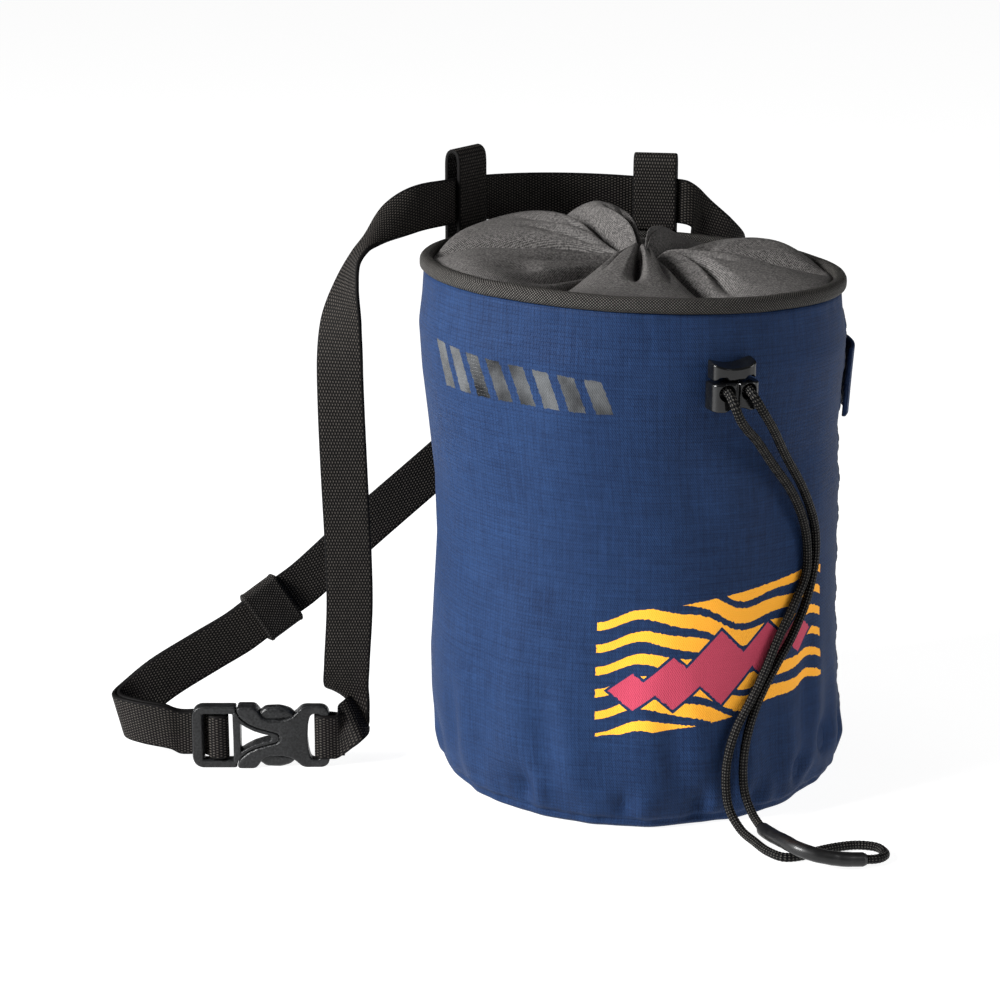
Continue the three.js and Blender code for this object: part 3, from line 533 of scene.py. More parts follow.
# Sewing thread: short flecks between two near colours.
def makeThread(name, low, high):
    finish = Finish(name, 0.6)
    finish.colour(finish.blend(finish.noise(1200, 2).ramp(0.3, 0.7), low, high))
    finish.relief(finish.noise(2500, 2), 0.08 * mm, 0.6)
    return finish.material


blueCloth = makeBlueCloth()
closureCloth = makeClosureCloth()
bindingTape = makeBindingTape()
webbingDark = tint(11, 10, 10)
blackWebbing = makeWebbing("black_webbing", webbingDark, tint(68, 64, 60), 1.08 * mm, 0.95 * mm, 7.1 * mm)
keeperElastic = makeWebbing("keeper_elastic", webbingDark, tint(62, 59, 56), 0.7 * mm, 1.1 * mm, 1000 * mm)
bucklePlastic = makeBucklePlastic()
lockPlastic = makeGlossPlastic("lock_plastic", tint(9, 9, 10), tint(16, 17, 18), 0.14, 0.12)
sleevePlastic = makeGlossPlastic("sleeve_plastic", tint(8, 8, 9), tint(18, 18, 19), 0.4, 0.14)
cordBraid = makeBraid()
blackThread = makeThread("black_thread", tint(14, 14, 15), tint(34, 34, 36))
print("materials made")

# draw cord: its route is the one that the part's solid has
cordSettings = {"diameter": 3.0, "step": 0.3, "sides": 24, "sleeveFrom": 42 / 80, "sleeveTo": 50 / 80,
                "sleeveOut": 0.8, "sleeveGap": 0.1, "sleeveTaper": 1.2, "floorGap": 0.05,
                "strands": 4, "strandPitch": 5.2}
cordRoute = np.array([
    [-3.65, -74.6, 147.2], [-3.6, -78.4, 146.8], [-3.1, -81.4, 143.9], [-1.2, -81.4, 139.6],
    [1.9, -79.6, 135.8], [7.4, -76, 130.6], [15, -71.7, 121.6], [26.4, -66, 107.7],
    [33, -62.4, 93.6], [34, -61.6, 80.4], [29.2, -63.9, 71.8], [22.2, -66.9, 61.9],
    [16.4, -68.9, 51.6], [11.2, -70.4, 43.4], [5.6, -71.3, 34.6], [2.6, -71.6, 25.2],
    [2, -71.8, 16], [3, -73, 7.6], [4.6, -78, 2.6], [5.4, -86, 1.6],
    [5.9, -94.6, 1.6], [8.4, -100.2, 1.6], [13.6, -101.4, 1.6], [20.6, -100, 1.6],
    [28, -99.6, 1.6], [34.6, -100.8, 1.6], [39.2, -104.6, 1.6], [38.8, -110.4, 1.7],
    [34.4, -113.4, 2.2], [28.4, -113, 2.8], [21.4, -112.4, 3.9], [14.6, -110.8, 5.6],
    [10.4, -105.6, 6.4], [9.3, -99, 6.2], [9.4, -90, 4.8], [10.2, -81, 3.9],
    [10, -74.8, 6.4], [8.6, -72, 13], [8.3, -71.6, 24.6], [10.6, -71, 35.2],
    [14.9, -69.8, 44.4], [21, -67.7, 52.6], [28, -64.9, 60.8], [34.6, -61.6, 71.5],
    [38.3, -59.3, 83.5], [37.4, -60, 94.8], [30.8, -64.4, 108.4], [20, -71.2, 123.4],
    [12.4, -77.2, 134], [6.8, -80.6, 141.2], [4, -80.2, 145.8], [3.65, -77, 147.4],
    [3.65, -74.6, 147.6]]) * mm


# The cord's tube: the radius swells where strands of the two turning sets cross over,
# so radius = half diameter * (1 + a small share of the product of the two sets' sines).
def makeCord():
    s = cordSettings
    path = evenPath(smoothPath(cordRoute, 12), s["step"] * mm)
    side, up = carriedFrame(path)
    turn = np.linspace(0, 2 * np.pi, s["sides"], endpoint=False)
    along = walked(path) / mm
    phase = 2 * np.pi * along[:, None] / s["strandPitch"]
    around = s["strands"] * turn[None, :]
    weave = np.sin(around + 2 * phase) * np.sin(around - 2 * phase)
    radius = s["diameter"] / 2 * mm * (0.95 + 0.06 * weave)
    section = np.stack([radius * np.cos(turn), radius * np.sin(turn)], axis=-1)
    points = sweptGrid(path, side, up, section)
    uv = sweptUv(path, np.linspace(0, 1, s["sides"] + 1))
    return path, side, up, gridMesh("draw_cord_braid", points, uv)


cordPath, cordSide, cordUp, cordMesh = makeCord()
cordPiece = addPiece(cordMesh, cordBraid, "braided_cord", "draw_cord")


# The shrink sleeve: a tube over part of the cord, its wall drawn in at both ends.
def makeSleeve():
    s = cordSettings
    share = np.linspace(0, 1, len(cordPath))
    chosen = (share >= s["sleeveFrom"]) & (share <= s["sleeveTo"])
    path, side, up = cordPath[chosen], cordSide[chosen], cordUp[chosen]
    along = walked(path) / mm
    fromEnd = np.minimum(along, along[-1] - along)
    out = s["diameter"] / 2 + s["sleeveOut"] * (0.45 + 0.55 * ease(fromEnd, 0, s["sleeveTaper"]))
    out = out + 0.05 * waves(along, 4, 0.5, 4, loops=False)
    turn = np.linspace(0, 2 * np.pi, 24, endpoint=False)
    ring = np.stack([np.cos(turn), np.sin(turn)], axis=-1)
    away = ring[:, :1] * side[:, None] + ring[:, 1:] * up[:, None]
    outer = path[:, None] + mm * out[:, None, None] * away
    inner = path[:, None] + mm * (s["diameter"] / 2 + s["sleeveGap"]) * away
    outer[..., 2] = np.maximum(outer[..., 2], s["floorGap"] * mm)  # flattened where it rests
    return gridMesh("shrink_sleeve", np.concatenate([outer, inner[::-1]]), closeRows=True)


sleevePiece = addPiece(makeSleeve(), sleevePlastic, "sleeve_plastic", "cord_sleeve")
print("cord and sleeve made", round(walked(cordPath)[-1], 4))

# bag: the wall's sections and dents are those of the part's solid
bagSettings = {"height": 167, "rimRadius": 68, "wall": 2.0, "rimSlope": 4.2, "rimLowAngle": 23,
               "columns": 384, "footRows": 36, "footShare": 0.12, "outsideRows": 150, "insideRows": 30,
               "floorRows": 14, "floorMap": 60, "seamAngle": -26, "mapRadius": 69,
               "foldDepth": 1.5, "foldCrest": 0.8}
wallSections = np.array([  # height share, radius share, sway share
    [0, 0.93, 0.047], [0.007, 0.962, 0.05], [0.026, 0.995, 0.055], [0.072, 1.018, 0.055],
    [0.15, 1.018, 0.04], [0.24, 1.013, 0.03], [0.36, 0.997, 0.032], [0.48, 0.984, 0.043],
    [0.6, 0.987, 0.04], [0.72, 0.996, 0.012], [0.81, 1.016, 0.003], [0.9, 1.031, 0.003],
    [0.96, 1.012, 0.003], [1, 1, 0]])
wallDents = np.array([  # angle, height share, degrees wide, share tall, depth share
    [-84, 0.79, 11, 0.06, 0.012], [-57, 0.05, 4, 0.06, 0.03],
    [-97, 0.06, 5, 0.06, 0.026], [-150, 0.05, 6, 0.06, 0.03], [170, 0.06, 5, 0.05, 0.024],
    [118, 0.05, 6, 0.06, 0.028], [62, 0.06, 5, 0.05, 0.024], [12, 0.05, 6, 0.06, 0.026],
    [88, 0.52, 26, 0.16, 0.016]])
# long soft folds of the standing cloth, then short puckers over the bottom seam: angle, height share,
# degrees wide, share tall, depth in mm before foldDepth or foldCrest, lean in degrees over the height
wallFolds = np.array([
    [-120, 0.22, 7, 0.2, 0.8, 14], [-104, 0.14, 4, 0.12, 0.9, -10], [-88, 0.1, 3, 0.09, 1.0, 8],
    [-74, 0.13, 4, 0.1, 0.9, -12], [-60, 0.2, 3.5, 0.16, 0.9, 9], [-46, 0.12, 4, 0.1, 0.9, -8],
    [-139, 0.14, 4, 0.11, 1.1, -12], [-160, 0.2, 6, 0.16, 0.9, 12], [-176, 0.12, 4, 0.09, 1.1, 8],
    [-70, 0.62, 8, 0.12, 0.6, 30], [-98, 0.66, 7, 0.1, 0.5, -26], [-145, 0.8, 9, 0.14, 0.6, 20],
    [150, 0.55, 8, 0.2, 0.9, -16], [128, 0.3, 6, 0.18, 0.8, 14], [100, 0.18, 5, 0.12, 1.0, -8],
    [74, 0.3, 6, 0.2, 0.8, 12], [46, 0.16, 4, 0.12, 1.0, -10], [28, 0.4, 7, 0.2, 0.7, 10],
    [-8, 0.2, 4, 0.12, 0.9, 12], [-14, 0.62, 6, 0.16, 0.8, -8],
    [-64, 0.075, 3, 0.03, 2.0, 10], [-50, 0.11, 3.5, 0.035, 2.2, -20], [-36, 0.09, 3, 0.045, 1.8, 12],
    [-97, 0.045, 2.5, 0.03, 1.5, 0], [-118, 0.05, 3, 0.03, 1.4, 6], [-80, 0.05, 2.5, 0.03, 1.5, -6],
    [-147, 0.06, 3, 0.035, 1.6, 6], [160, 0.06, 3, 0.04, 1.5, 0], [95, 0.06, 3, 0.035, 1.5, 6],
    [35, 0.06, 3, 0.04, 1.6, -6]])


# The signed turn from b to a, in degrees from -180 to 180.
def turnBetween(a, b):
    return (a - b + 180) % 360 - 180


# The cloth's top edge lies in a tilted plane: its height is less by a cosine of the angle.
def rimHeight(angle):
    s = bagSettings
    return s["height"] - s["rimSlope"] * np.cos(np.radians(angle - s["rimLowAngle"]))


# A column of the section table, eased between its rows so that no ring shows as a crease.
def sectionValue(height, column):
    at = wallSections[:, 0]
    fine = np.linspace(0, 1, 400)
    values = np.interp(fine, at, wallSections[:, column])
    kernel = np.hanning(15) / np.hanning(15).sum()
    padded = np.concatenate([np.full(7, values[0]), values, np.full(7, values[-1])])
    smooth = np.convolve(padded, kernel, "valid")
    keep = ease(fine, 0.02, 0.06)
    return np.interp(height, fine, values * (1 - keep) + smooth * keep)


# Wall radius in mm at an angle and height share: the section's radius less a bell-shaped dent for
# each row of the tables, and outside the cloth also the seam, the puckers over it and soft waves.
def wallRadius(angle, height, detail=True):
    s = bagSettings
    radius = sectionValue(height, 1) * s["rimRadius"]
    for at, share, wide, tall, depth in wallDents:
        across = turnBetween(angle, at) / wide
        radius = radius - depth * s["rimRadius"] * np.exp(-across**2 - ((height - share) / tall) ** 2)
    if not detail:
        return radius
    for at, share, wide, tall, depth, lean in wallFolds:
        across = (turnBetween(angle, at) - lean * (height - share)) / wide
        radius = radius - s["foldDepth"] * depth * np.exp(-across**2 - ((height - share) / tall) ** 2)
        beside = (turnBetween(angle, at) - lean * (height - share) - 1.7 * wide) / wide
        radius = radius + s["foldCrest"] * depth * np.exp(-beside**2 - ((height - share) / tall) ** 2)
    turn = np.radians(angle)
    z = height * s["height"]
    nearFloor = np.exp(-((z - 4) / 8) ** 2)
    radius = radius + nearFloor * 0.75 * waves(turn, 11, 9, 5)
    radius = radius - 0.9 * np.exp(-((z - 3.4) / 1.1) ** 2) * (1 + 0.5 * waves(turn, 12, 23, 3))
    radius = radius + 0.35 * waves(turn + 0.4 * height, 13, 2, 4)
    nearRim = np.exp(-((1 - height) / 0.035) ** 2)
    radius = radius + nearRim * 0.28 * waves(turn, 14, 17, 4)
    seam = turnBetween(angle, s["seamAngle"])
    pull = np.exp(-((seam / 5) ** 2))
    radius = radius - pull * (0.75 + 0.3 * np.sin(z / 2.1)) - 0.9 * np.exp(-((seam / 0.8) ** 2))
    radius = radius + 0.5 * np.exp(-(((seam - 2.1) / 0.9) ** 2)) + 0.5 * np.exp(-(((seam + 2.1) / 0.9) ** 2))
    return radius


# A point on the wall, moved outwards by out: the ring at that height, shifted by its sway.
def wallPoint(angle, height, out=0.0, detail=True):
    radius = wallRadius(angle, height, detail) + out
    sway = sectionValue(height, 2) * bagSettings["rimRadius"]
    turn = np.radians(angle)
    place = [sway + radius * np.cos(turn), radius * np.sin(turn), height * rimHeight(angle)]
    return np.stack(place, -1) * mm


# The bag as one closed skin: floor, outside, over the edge, inside and inner floor.
def makeBag():
    s = bagSettings
    angle = np.linspace(-180, 180, s["columns"], endpoint=False)[None, :]
    low = np.linspace(0, 1, s["footRows"]) ** 1.6 * s["footShare"]
    above = np.linspace(s["footShare"], 1, s["outsideRows"] - s["footRows"] + 1)[1:]
    heights = np.concatenate([low, above])[:, None]
    outside = wallPoint(angle, heights)
    edge = wallPoint(angle, np.ones((1, 1)), -0.5 * s["wall"])
    edge[..., 2] += 0.4 * mm
    insideHeights = np.linspace(1, 0.03, s["insideRows"])[:, None]
    inside = wallPoint(angle, insideHeights, -s["wall"], detail=False)
    shares = np.linspace(0, 1, s["floorRows"])[:, None]
    foot = wallPoint(angle, np.zeros((1, 1)))
    middle = foot.mean(axis=1, keepdims=True)
    under = middle + (foot - middle) * shares[:-1, :, None]
    under[..., 2] = 0.25 * mm * (1 - shares[:-1] ** 4) + 0.02 * mm
    innerFoot = wallPoint(angle, np.zeros((1, 1)), -s["wall"] - 1, detail=False)
    within = middle + (innerFoot - middle) * shares[::-1, :, None]
    within[..., 2] = s["wall"] * mm
    points = np.concatenate([under, outside, edge, inside, within])
    ring = np.linspace(-180, 180, s["columns"] + 1)
    u = np.radians(ring + 90) * s["mapRadius"] * mm
    v = np.concatenate([
        -s["floorMap"] * (1 - shares[:-1, 0]), heights[:, 0] * s["height"], [s["height"]],
        (2 - insideHeights[:, 0]) * s["height"], 2 * s["height"] + s["floorMap"] * (1 - shares[::-1, 0])])
    uv = np.stack(np.meshgrid(u, v * mm), axis=-1)
    return gridMesh("bag_cloth", points, uv)


addPiece(makeBag(), blueCloth, "bag_cloth", "bag_shell")


# Stitches in a row along given points of a surface, half sunk in it.
def stitchRow(name, path, up, length, gap, thick, material, slot):
    along = walked(path)
    count = int(along[-1] / (length + gap))
    places = (np.arange(count) + 0.5) * (length + gap)
    middles = np.column_stack([np.interp(places, along, column) for column in path.T])
    ups = unit(np.column_stack([np.interp(places, along, column) for column in up.T]))
    tangents = headings(path)
    directions = unit(np.column_stack([np.interp(places, along, column) for column in tangents.T]))
    return addPiece(stitchMesh(name, middles, directions, ups, length, thick), material, slot)


seamStitches = {"offset": 1.75, "length": 2.6, "gap": 0.9, "thick": 0.55, "samples": 200}
for sideName, sign in (("left", -1), ("right", 1)):
    heights = np.linspace(0.03, 0.975, seamStitches["samples"])
    angles = np.full(len(heights), bagSettings["seamAngle"] + sign * seamStitches["offset"])
    path = wallPoint(angles, heights, 0.05)
    outward = np.column_stack([np.cos(np.radians(angles)), np.sin(np.radians(angles)), 0 * angles])
    stitchRow(f"seam_stitches_{sideName}", path, outward, seamStitches["length"] * mm,
              seamStitches["gap"] * mm, seamStitches["thick"] * mm, blackThread, "bag_cloth")
print("bag made")

# binding round the rim
bindingSettings = {"wide": 4.2, "tall": 4.9, "gap": 0.3, "columns": 480}
bindingMiddle = bagSettings["rimRadius"] - bagSettings["wall"] / 2


# A rounded tape section carried round the rim; its radius breathes a little with seeded waves.
def makeBinding():
    s = bindingSettings
    angle = np.linspace(0, 360, s["columns"], endpoint=False)
    turn = np.radians(angle)
    section = roundedSection(s["wide"], s["tall"], 1.75, 7, 5)
    section[:, 0] += 0.18 * np.cos(section[:, 1] / s["tall"] * np.pi)
    wobble = 0.16 * waves(turn, 21, 5, 4)
    radius = bindingMiddle + section[None, :, 0] + wobble[:, None]
    middle = rimHeight(angle) + s["gap"] + s["tall"] / 2
    z = middle[:, None] + section[None, :, 1] - 0.12 * waves(turn, 22, 9, 3)[:, None]
    points = np.stack([radius * np.cos(turn)[:, None], radius * np.sin(turn)[:, None], z], -1) * mm
    ring = np.append(np.linspace(0, 2 * np.pi, s["columns"], endpoint=False), 2 * np.pi) * bindingMiddle * mm
    uv = gridUv(ring, walked(closedPath(section)) * mm)
    return gridMesh("rim_tape", points, uv, closeRows=True)


addPiece(makeBinding(), bindingTape, "binding_tape", "rim_binding")

# gathered closure
closureSettings = {"wall": 1.0, "hole": 1.6, "gatherX": 3, "gatherY": -1, "columns": 540, "rows": 90,
                   "pleats": 22, "pleatDepth": 1.2, "pinch": 4.2, "pinchWide": 7, "pit": 5}
closureRadius = bindingMiddle - bindingSettings["wide"] / 2 - 0.1
# lobes of puffed cloth, each between the valley it starts at and the next one: valley's angle at the
# rim, its turn towards the gather, its floor in mm, lobe's rise share, peak's share of the way out,
# fullness across and along
closureLobes = np.array([
    [211, -24, -6.0, 0.14, 0.33, 2.6, 2], [282, 4, -7.5, 0.13, 0.5, 2.6, 2],
    [343, 29, -1.5, 0.15, 0.68, 2.6, 2.4], [392, -4, -4.0, 0.15, 0.27, 2.2, 2],
    [424, -2, 1.0, 0.19, 0.4, 3.0, 2], [458, 6, 5.5, 0.11, 0.72, 4.0, 5],
    [514, -46, -0.5, 0.1, 0.66, 2.6, 3]])
closureCreases = np.array([  # angle, degrees wide, depth in mm, shares where it starts and ends, turn
    [244, 8, 8.0, 0.24, 0.62, 0], [286, 8, 4.2, 0.12, 0.8, 52], [188, 11, 2.0, 0.6, 1.0, -8],
    [225, 7, 2.2, 0.16, 0.55, -10], [262, 7, 2.4, 0.14, 0.6, 8], [316, 7, 2.4, 0.14, 0.6, 14],
    [332, 6, 1.8, 0.12, 0.55, 20], [372, 7, 3.0, 0.12, 0.62, -14], [392, 6, 2.4, 0.12, 0.55, -16],
    [437, 6, 4.4, 0.1, 0.55, 4], [448, 7, 4.0, 0.08, 0.58, -8], [474, 6, 2.6, 0.14, 0.62, -12],
    [490, 6, 2.4, 0.3, 0.75, -20], [522, 7, 2.2, 0.16, 0.6, -30], [540, 8, 2.4, 0.16, 0.7, -14],
    [514, 5, 2.6, 0.25, 1.0, -46], [482, 7, 2.6, 0.42, 0.9, -30], [199, 6, 3.0, 0.3, 0.9, -14],
    [168, 7, 2.8, 0.2, 0.75, -34], [328, 6, 3.2, 0.2, 0.95, 26], [357, 6, 2.8, 0.2, 0.9, 18]])


# Height of the closure above its base. Between two valleys the floor runs from one to the other along
# half a cosine, and a lobe rises from it as 1 - |2t - 1|^p across its width and again along the way out,
# where t is the share to a power that puts the middle at the lobe's peak. Each valley and each crease
# takes a wedge away, tight pleats run into the gather, and a pit lies in it.
def closureHeight(angle, share):
    s = closureSettings
    turned = (1 - share) ** 2
    bed = np.sin(np.pi * np.clip(share, 0, 1) ** 1.5)
    rise = np.zeros(np.broadcast(angle, share).shape)
    following = np.roll(closureLobes, -1, axis=0)
    following[-1, 0] += 360
    for lobe, (end, nextTwist, nextFloor, *_) in zip(closureLobes, following):
        start, twist, floor, high, peak, fullAcross, fullAlong = lobe
        low = start + twist * turned
        wide = end + nextTwist * turned - low
        t = np.mod(angle - low, 360) / wide
        within = t < 1
        across = 1 - np.abs(2 * np.clip(t, 0, 1) - 1) ** fullAcross
        along = 1 - np.abs(2 * share ** (np.log(0.5) / np.log(peak)) - 1) ** fullAlong
        level = floor + (nextFloor - floor) * (1 - np.cos(np.pi * np.clip(t, 0, 1))) / 2
        rise = rise + within * (level * bed + high * bagSettings["rimRadius"] * across * along)
        edge = np.abs(turnBetween(angle, low)) / s["pinchWide"]
        rise = rise - s["pinch"] * np.maximum(0, 1 - edge) ** 1.5 * np.sin(np.pi * share)
    for at, wide, depth, start, end, twist in closureCreases:
        across = np.abs(turnBetween(angle, at + twist * turned)) / (wide * (0.7 + 0.5 * share))
        along = ease(share, start - 0.08, start + 0.06) * (1 - ease(share, 0.55 * end, end))
        rise = rise - depth * np.maximum(0, 1 - across) ** 1.4 * along
    turn = np.radians(angle)
    swirl = s["pleats"] * turn + 2.4 * (1 - share) + 0.9 * waves(turn, 31, 3, 3)
    pleat = 1 - 2 * np.abs(np.sin(swirl / 2)) ** 0.7
    rise = rise - s["pleatDepth"] * pleat * ease(share, 0.02, 0.09) * (1 - ease(share, 0.1, 0.36))
    rise = rise + 0.45 * waves(turn, 33, 6, 4) * ease(share, 0.15, 0.5) * (1 - ease(share, 0.8, 1))
    return rise - s["pit"] * np.exp(-((share / 0.07) ** 2))


# The closure as rings from the rim to the gather, and the same rings again a wall lower.
def makeClosure():
    s = closureSettings
    angle = np.linspace(0, 360, s["columns"], endpoint=False)[None, :]
    hole = s["hole"] / closureRadius
    share = (1 - np.linspace(0, 1, s["rows"]) ** 0.85 * (1 - hole))[:, None]
    lean = 1 - share
    radius = share * closureRadius
    edge = rimHeight(angle) + bindingSettings["gap"] + 0.55 * bindingSettings["tall"]
    base = (bagSettings["height"] + bindingSettings["tall"]) * lean + edge * share
    z = base + closureHeight(angle, share)
    turn = np.radians(angle)
    x = s["gatherX"] * lean + radius * np.cos(turn)
    y = s["gatherY"] * lean + radius * np.sin(turn)
    top = np.stack(np.broadcast_arrays(x, y, z), -1) * mm
    under = top[::-1].copy()
    under[..., 2] -= s["wall"] * mm
    points = np.concatenate([top, under])
    ring = np.append(angle[0], 360)
    outward = np.concatenate([share[:, 0], share[::-1, 0] + 2, [share[0, 0]]]) * closureRadius * mm
    uv = np.stack(np.meshgrid(np.radians(ring) * closureRadius * mm, outward), -1)
    return gridMesh("gathered_closure", points, uv, closeRows=True)


closureMesh = makeClosure()
closurePiece = addPiece(closureMesh, closureCloth, "closure_cloth", "closure_top")
closureArea = sum(face.area for face in closureMesh.polygons) / 2
print("closure made, cloth area", round(closureArea, 5))

# belt: the route is the part's, as shares of the rim's radius and the belt's height
beltSettings = {"width": 15.5, "thick": 1.5, "height": 182, "tilt": 2.6, "clearance": 0.35, "step": 0.8,
                "rounding": 0.55, "steps": 8, "loopSpread": 31, "loopWidth": 15, "loopSlack": 1.1,
                "loopTail": 16, "loopShoulder": 1.2, "loopStandOff": 0.2, "loopSteps": 10}
beltScale = np.array([bagSettings["rimRadius"], bagSettings["rimRadius"], beltSettings["height"]])
hangingRoute = np.array([  # x, y, z and the direction across
    [-1.365, 0.384, 0.076, 0.14, -0.38, -0.91], [-1.319, 0.382, 0.088, 0.18, -0.6, -0.78],
    [-1.259, 0.46, 0.093, 0.2, -0.62, -0.76], [-1.284, 0.494, 0.108, 0.55, -0.65, -0.52],
    [-1.315, 0.484, 0.137, 0.9, -0.42, -0.15], [-1.324, 0.447, 0.189, 0.93, -0.37, 0],
    [-1.316, 0.413, 0.308, 0.93, -0.37, 0], [-1.325, 0.393, 0.415, 0.93, -0.37, 0],
    [-1.34, 0.391, 0.562, 0.93, -0.37, 0], [-1.347, 0.401, 0.69, 0.89, -0.47, 0],
    [-1.344, 0.416, 0.773, 0.83, -0.55, 0], [-1.326, 0.441, 0.843, 0.61, -0.79, 0],
    [-1.285, 0.472, 0.903, 0.15, -0.99, 0], [-1.226, 0.512, 0.948, -0.18, -0.98, 0],
    [-1.16, 0.54, 0.972, -0.28, -0.96, -0.1], [-1.05, 0.6, 1.0, -0.24, -0.72, -0.65],
    [-0.86, 0.667, 1.018, -0.05, -0.2, -0.98]])
crossingRoute = np.array([
    [0.735, 0.775, 0.95, -0.33, 0.13, -0.93], [0.857, 0.757, 0.906, -0.42, 0.17, -0.89],
    [0.95, 0.79, 0.868, -0.36, 0.04, -0.93], [0.946, 0.9, 0.835, -0.19, 0.07, -0.98],
    [0.818, 1.0, 0.802, 0, 0, -1], [0.566, 1.088, 0.753, 0.19, -0.07, -0.98],
    [0.231, 1.16, 0.676, 0.32, -0.13, -0.94], [-0.193, 1.172, 0.577, 0.44, -0.18, -0.88],
    [-0.613, 1.11, 0.474, 0.49, -0.2, -0.85], [-1.03, 1.09, 0.364, 0.49, -0.2, -0.85]])
turnRoute = np.array([  # from the keeper, in shares of the webbing's width
    [-1.56, -0.08, -0.8, 0.5, -0.2, -0.84], [-2.62, -0.17, -1.27, 0.48, -0.18, -0.86],
    [-3.26, -0.23, -1.66, 0.38, -0.14, -0.91], [-3.66, -0.42, -1.85, 0.24, -0.1, -0.97],
    [-3.68, -0.66, -1.87, 0.2, -0.08, -0.98], [-3.4, -1.1, -1.88, 0.14, -0.06, -0.99],
    [-2.86, -1.48, -1.95, 0.08, -0.03, -1]])
keeperPlace = np.array([-1.512, 1.087, 0.236]) * beltScale
keeperAxis = unit(np.array([0.863, 0.034, 0.505]))
keeperAcross = np.array([0.49, -0.2, -0.85])
keeperAcross = unit(keeperAcross - keeperAxis * keeperAcross.dot(keeperAxis))
beltRadius = bindingMiddle + beltSettings["thick"]
keeperSettings = {"length": 14.5, "wall": 1.3, "outsideRows": 26, "insideRows": 8}
buckleSettings = {"length": 46.8, "tall": 22, "thick": 7, "frameThick": 2.8, "barThick": 1.8, "barWide": 2.6,
                  "heading": -22, "sewnBar": 44.9, "grabBar": 8.8, "spare": 0.6, "lift": 0.3, "cut": 0.8}
buckleEnd = np.array([-1.425, 0.412]) * beltScale[:2]  # where the sewn end of the buckle is
beltHalf = beltSettings["clearance"] + beltSettings["thick"] / 2  # from a bar's face to the belt's middle


# A place in the buckle's own frame: u along it, n out of its face, v up.
def atBuckle(u, n, v=0.0):
    turn = radians(buckleSettings["heading"])
    startX = buckleEnd[0] - buckleSettings["length"] * np.cos(turn)
    startY = buckleEnd[1] - buckleSettings["length"] * np.sin(turn)
    u, n, v = np.broadcast_arrays(np.asarray(u, float), n, v)
    return np.stack([startX + u * np.cos(turn) + n * np.sin(turn),
                     startY + u * np.sin(turn) - n * np.cos(turn),
                     buckleSettings["tall"] / 2 + v], -1)


# A row of the belt's route beside the buckle, its width upright.
def buckleRow(u, n):
    return np.concatenate([atBuckle(u, n), [0, 0, -1]])[None]


# Rows round a bar: an ellipse a little clear of the bar, from one turn to another.
def wrapRows(bar, start, end):
    s = buckleSettings
    turn = np.radians(np.linspace(start, end, 5))
    reach = s["barWide"] / 2 + beltHalf + s["spare"]
    out = s["barThick"] / 2 + beltHalf + s["lift"]
    places = atBuckle(bar + reach * np.cos(turn), out * np.sin(turn))
    return np.hstack([places, np.tile([0, 0, -1], (5, 1))])


# The belt's height behind the bag: a straight slope, higher by tilt at the left loop than in the middle.
def beltHeightAt(angle):
    s = beltSettings
    return s["height"] + s["tilt"] * (angle - 90) / s["loopSpread"]


# Belt rows in order: sewn end, hanging stretch, arc through the loops, crossing, keeper, left turn. The
# tail starts inside the keeper, at the second of its five rows.
def beltRows():
    s, sewn = beltSettings, buckleSettings["sewnBar"]
    spread, step = s["loopSpread"], s["loopSpread"] / 3
    angle = np.arange(90 + spread + step, 90 - spread - 1.5 * step, -step)
    turn = np.radians(angle)
    back = np.column_stack([beltRadius * np.cos(turn), beltRadius * np.sin(turn), beltHeightAt(angle),
                            np.zeros(len(angle)), np.zeros(len(angle)), -np.ones(len(angle))])
    shares = np.array([1, 0.5, 0, -0.5, -1])[:, None]
    keeper = np.hstack([keeperPlace + shares * keeperSettings["length"] * keeperAxis,
                        np.tile(keeperAcross, (5, 1))])
    turning = np.hstack([keeperPlace + turnRoute[:, :3] * s["width"], turnRoute[:, 3:]])
    behind = -(buckleSettings["frameThick"] / 2 + beltHalf)
    scale = np.append(beltScale, [1, 1, 1])
    rows = np.vstack([buckleRow(sewn + 6.4, -1), buckleRow(sewn + 4, -1.3), wrapRows(sewn, -60, -300),
                      buckleRow(sewn + 4, 1.3), hangingRoute * scale, back, crossingRoute * scale, keeper,
                      turning, buckleRow(-4.5, behind - 0.3), buckleRow(1, behind - 0.2)])
    return rows, len(rows) - len(turning) - 6, behind


# Smooth stations: the places and the directions across are each run through their rows.
def stationsOf(rows, count):
    places = smoothPath(rows[:, :3], count)
    across = unit(smoothPath(rows[:, 3:], count))
    return np.hstack([places, across])


# A strap along stations: a flat rounded section whose width follows the directions across.
def strapMesh(name, stations, width):
    s = beltSettings
    even = evenPath(stations, s["step"])
    path, across = even[:, :3], unit(even[:, 3:])
    up = unit(np.cross(headings(path), across))
    section = roundedSection(width, s["thick"], s["rounding"], 4, 10)
    points = sweptGrid(path, across, up, section) * mm
    uv = sweptUv(path, np.append(section[:, 0], section[0, 0])) * mm
    return gridMesh(name, points, uv)


# The whole belt: its main run, round the grab bar, and the tail that lies a lap over the main run.
def makeBelt():
    s, grab = beltSettings, buckleSettings["grabBar"]
    rows, tailFrom, behind = beltRows()
    main = stationsOf(rows, s["steps"])
    tail = main[tailFrom * s["steps"]:-1]
    face = unit(np.cross(headings(tail), tail[:, 3:]))
    lap = s["thick"] + s["clearance"]
    tail = np.hstack([tail[:, :3] + face * lap, tail[:, 3:]])[::-1]
    overBar = stationsOf(np.vstack([
        buckleRow(4.2, behind + 0.1), wrapRows(grab, 195, -35), buckleRow(grab + 0.5, behind - lap + 0.1),
        buckleRow(4.8, behind - lap - 0.1)]), s["steps"])
    return strapMesh("belt_webbing", np.vstack([main, overBar, tail]), s["width"])


addPiece(makeBelt(), blackWebbing, "webbing", "waist_belt")


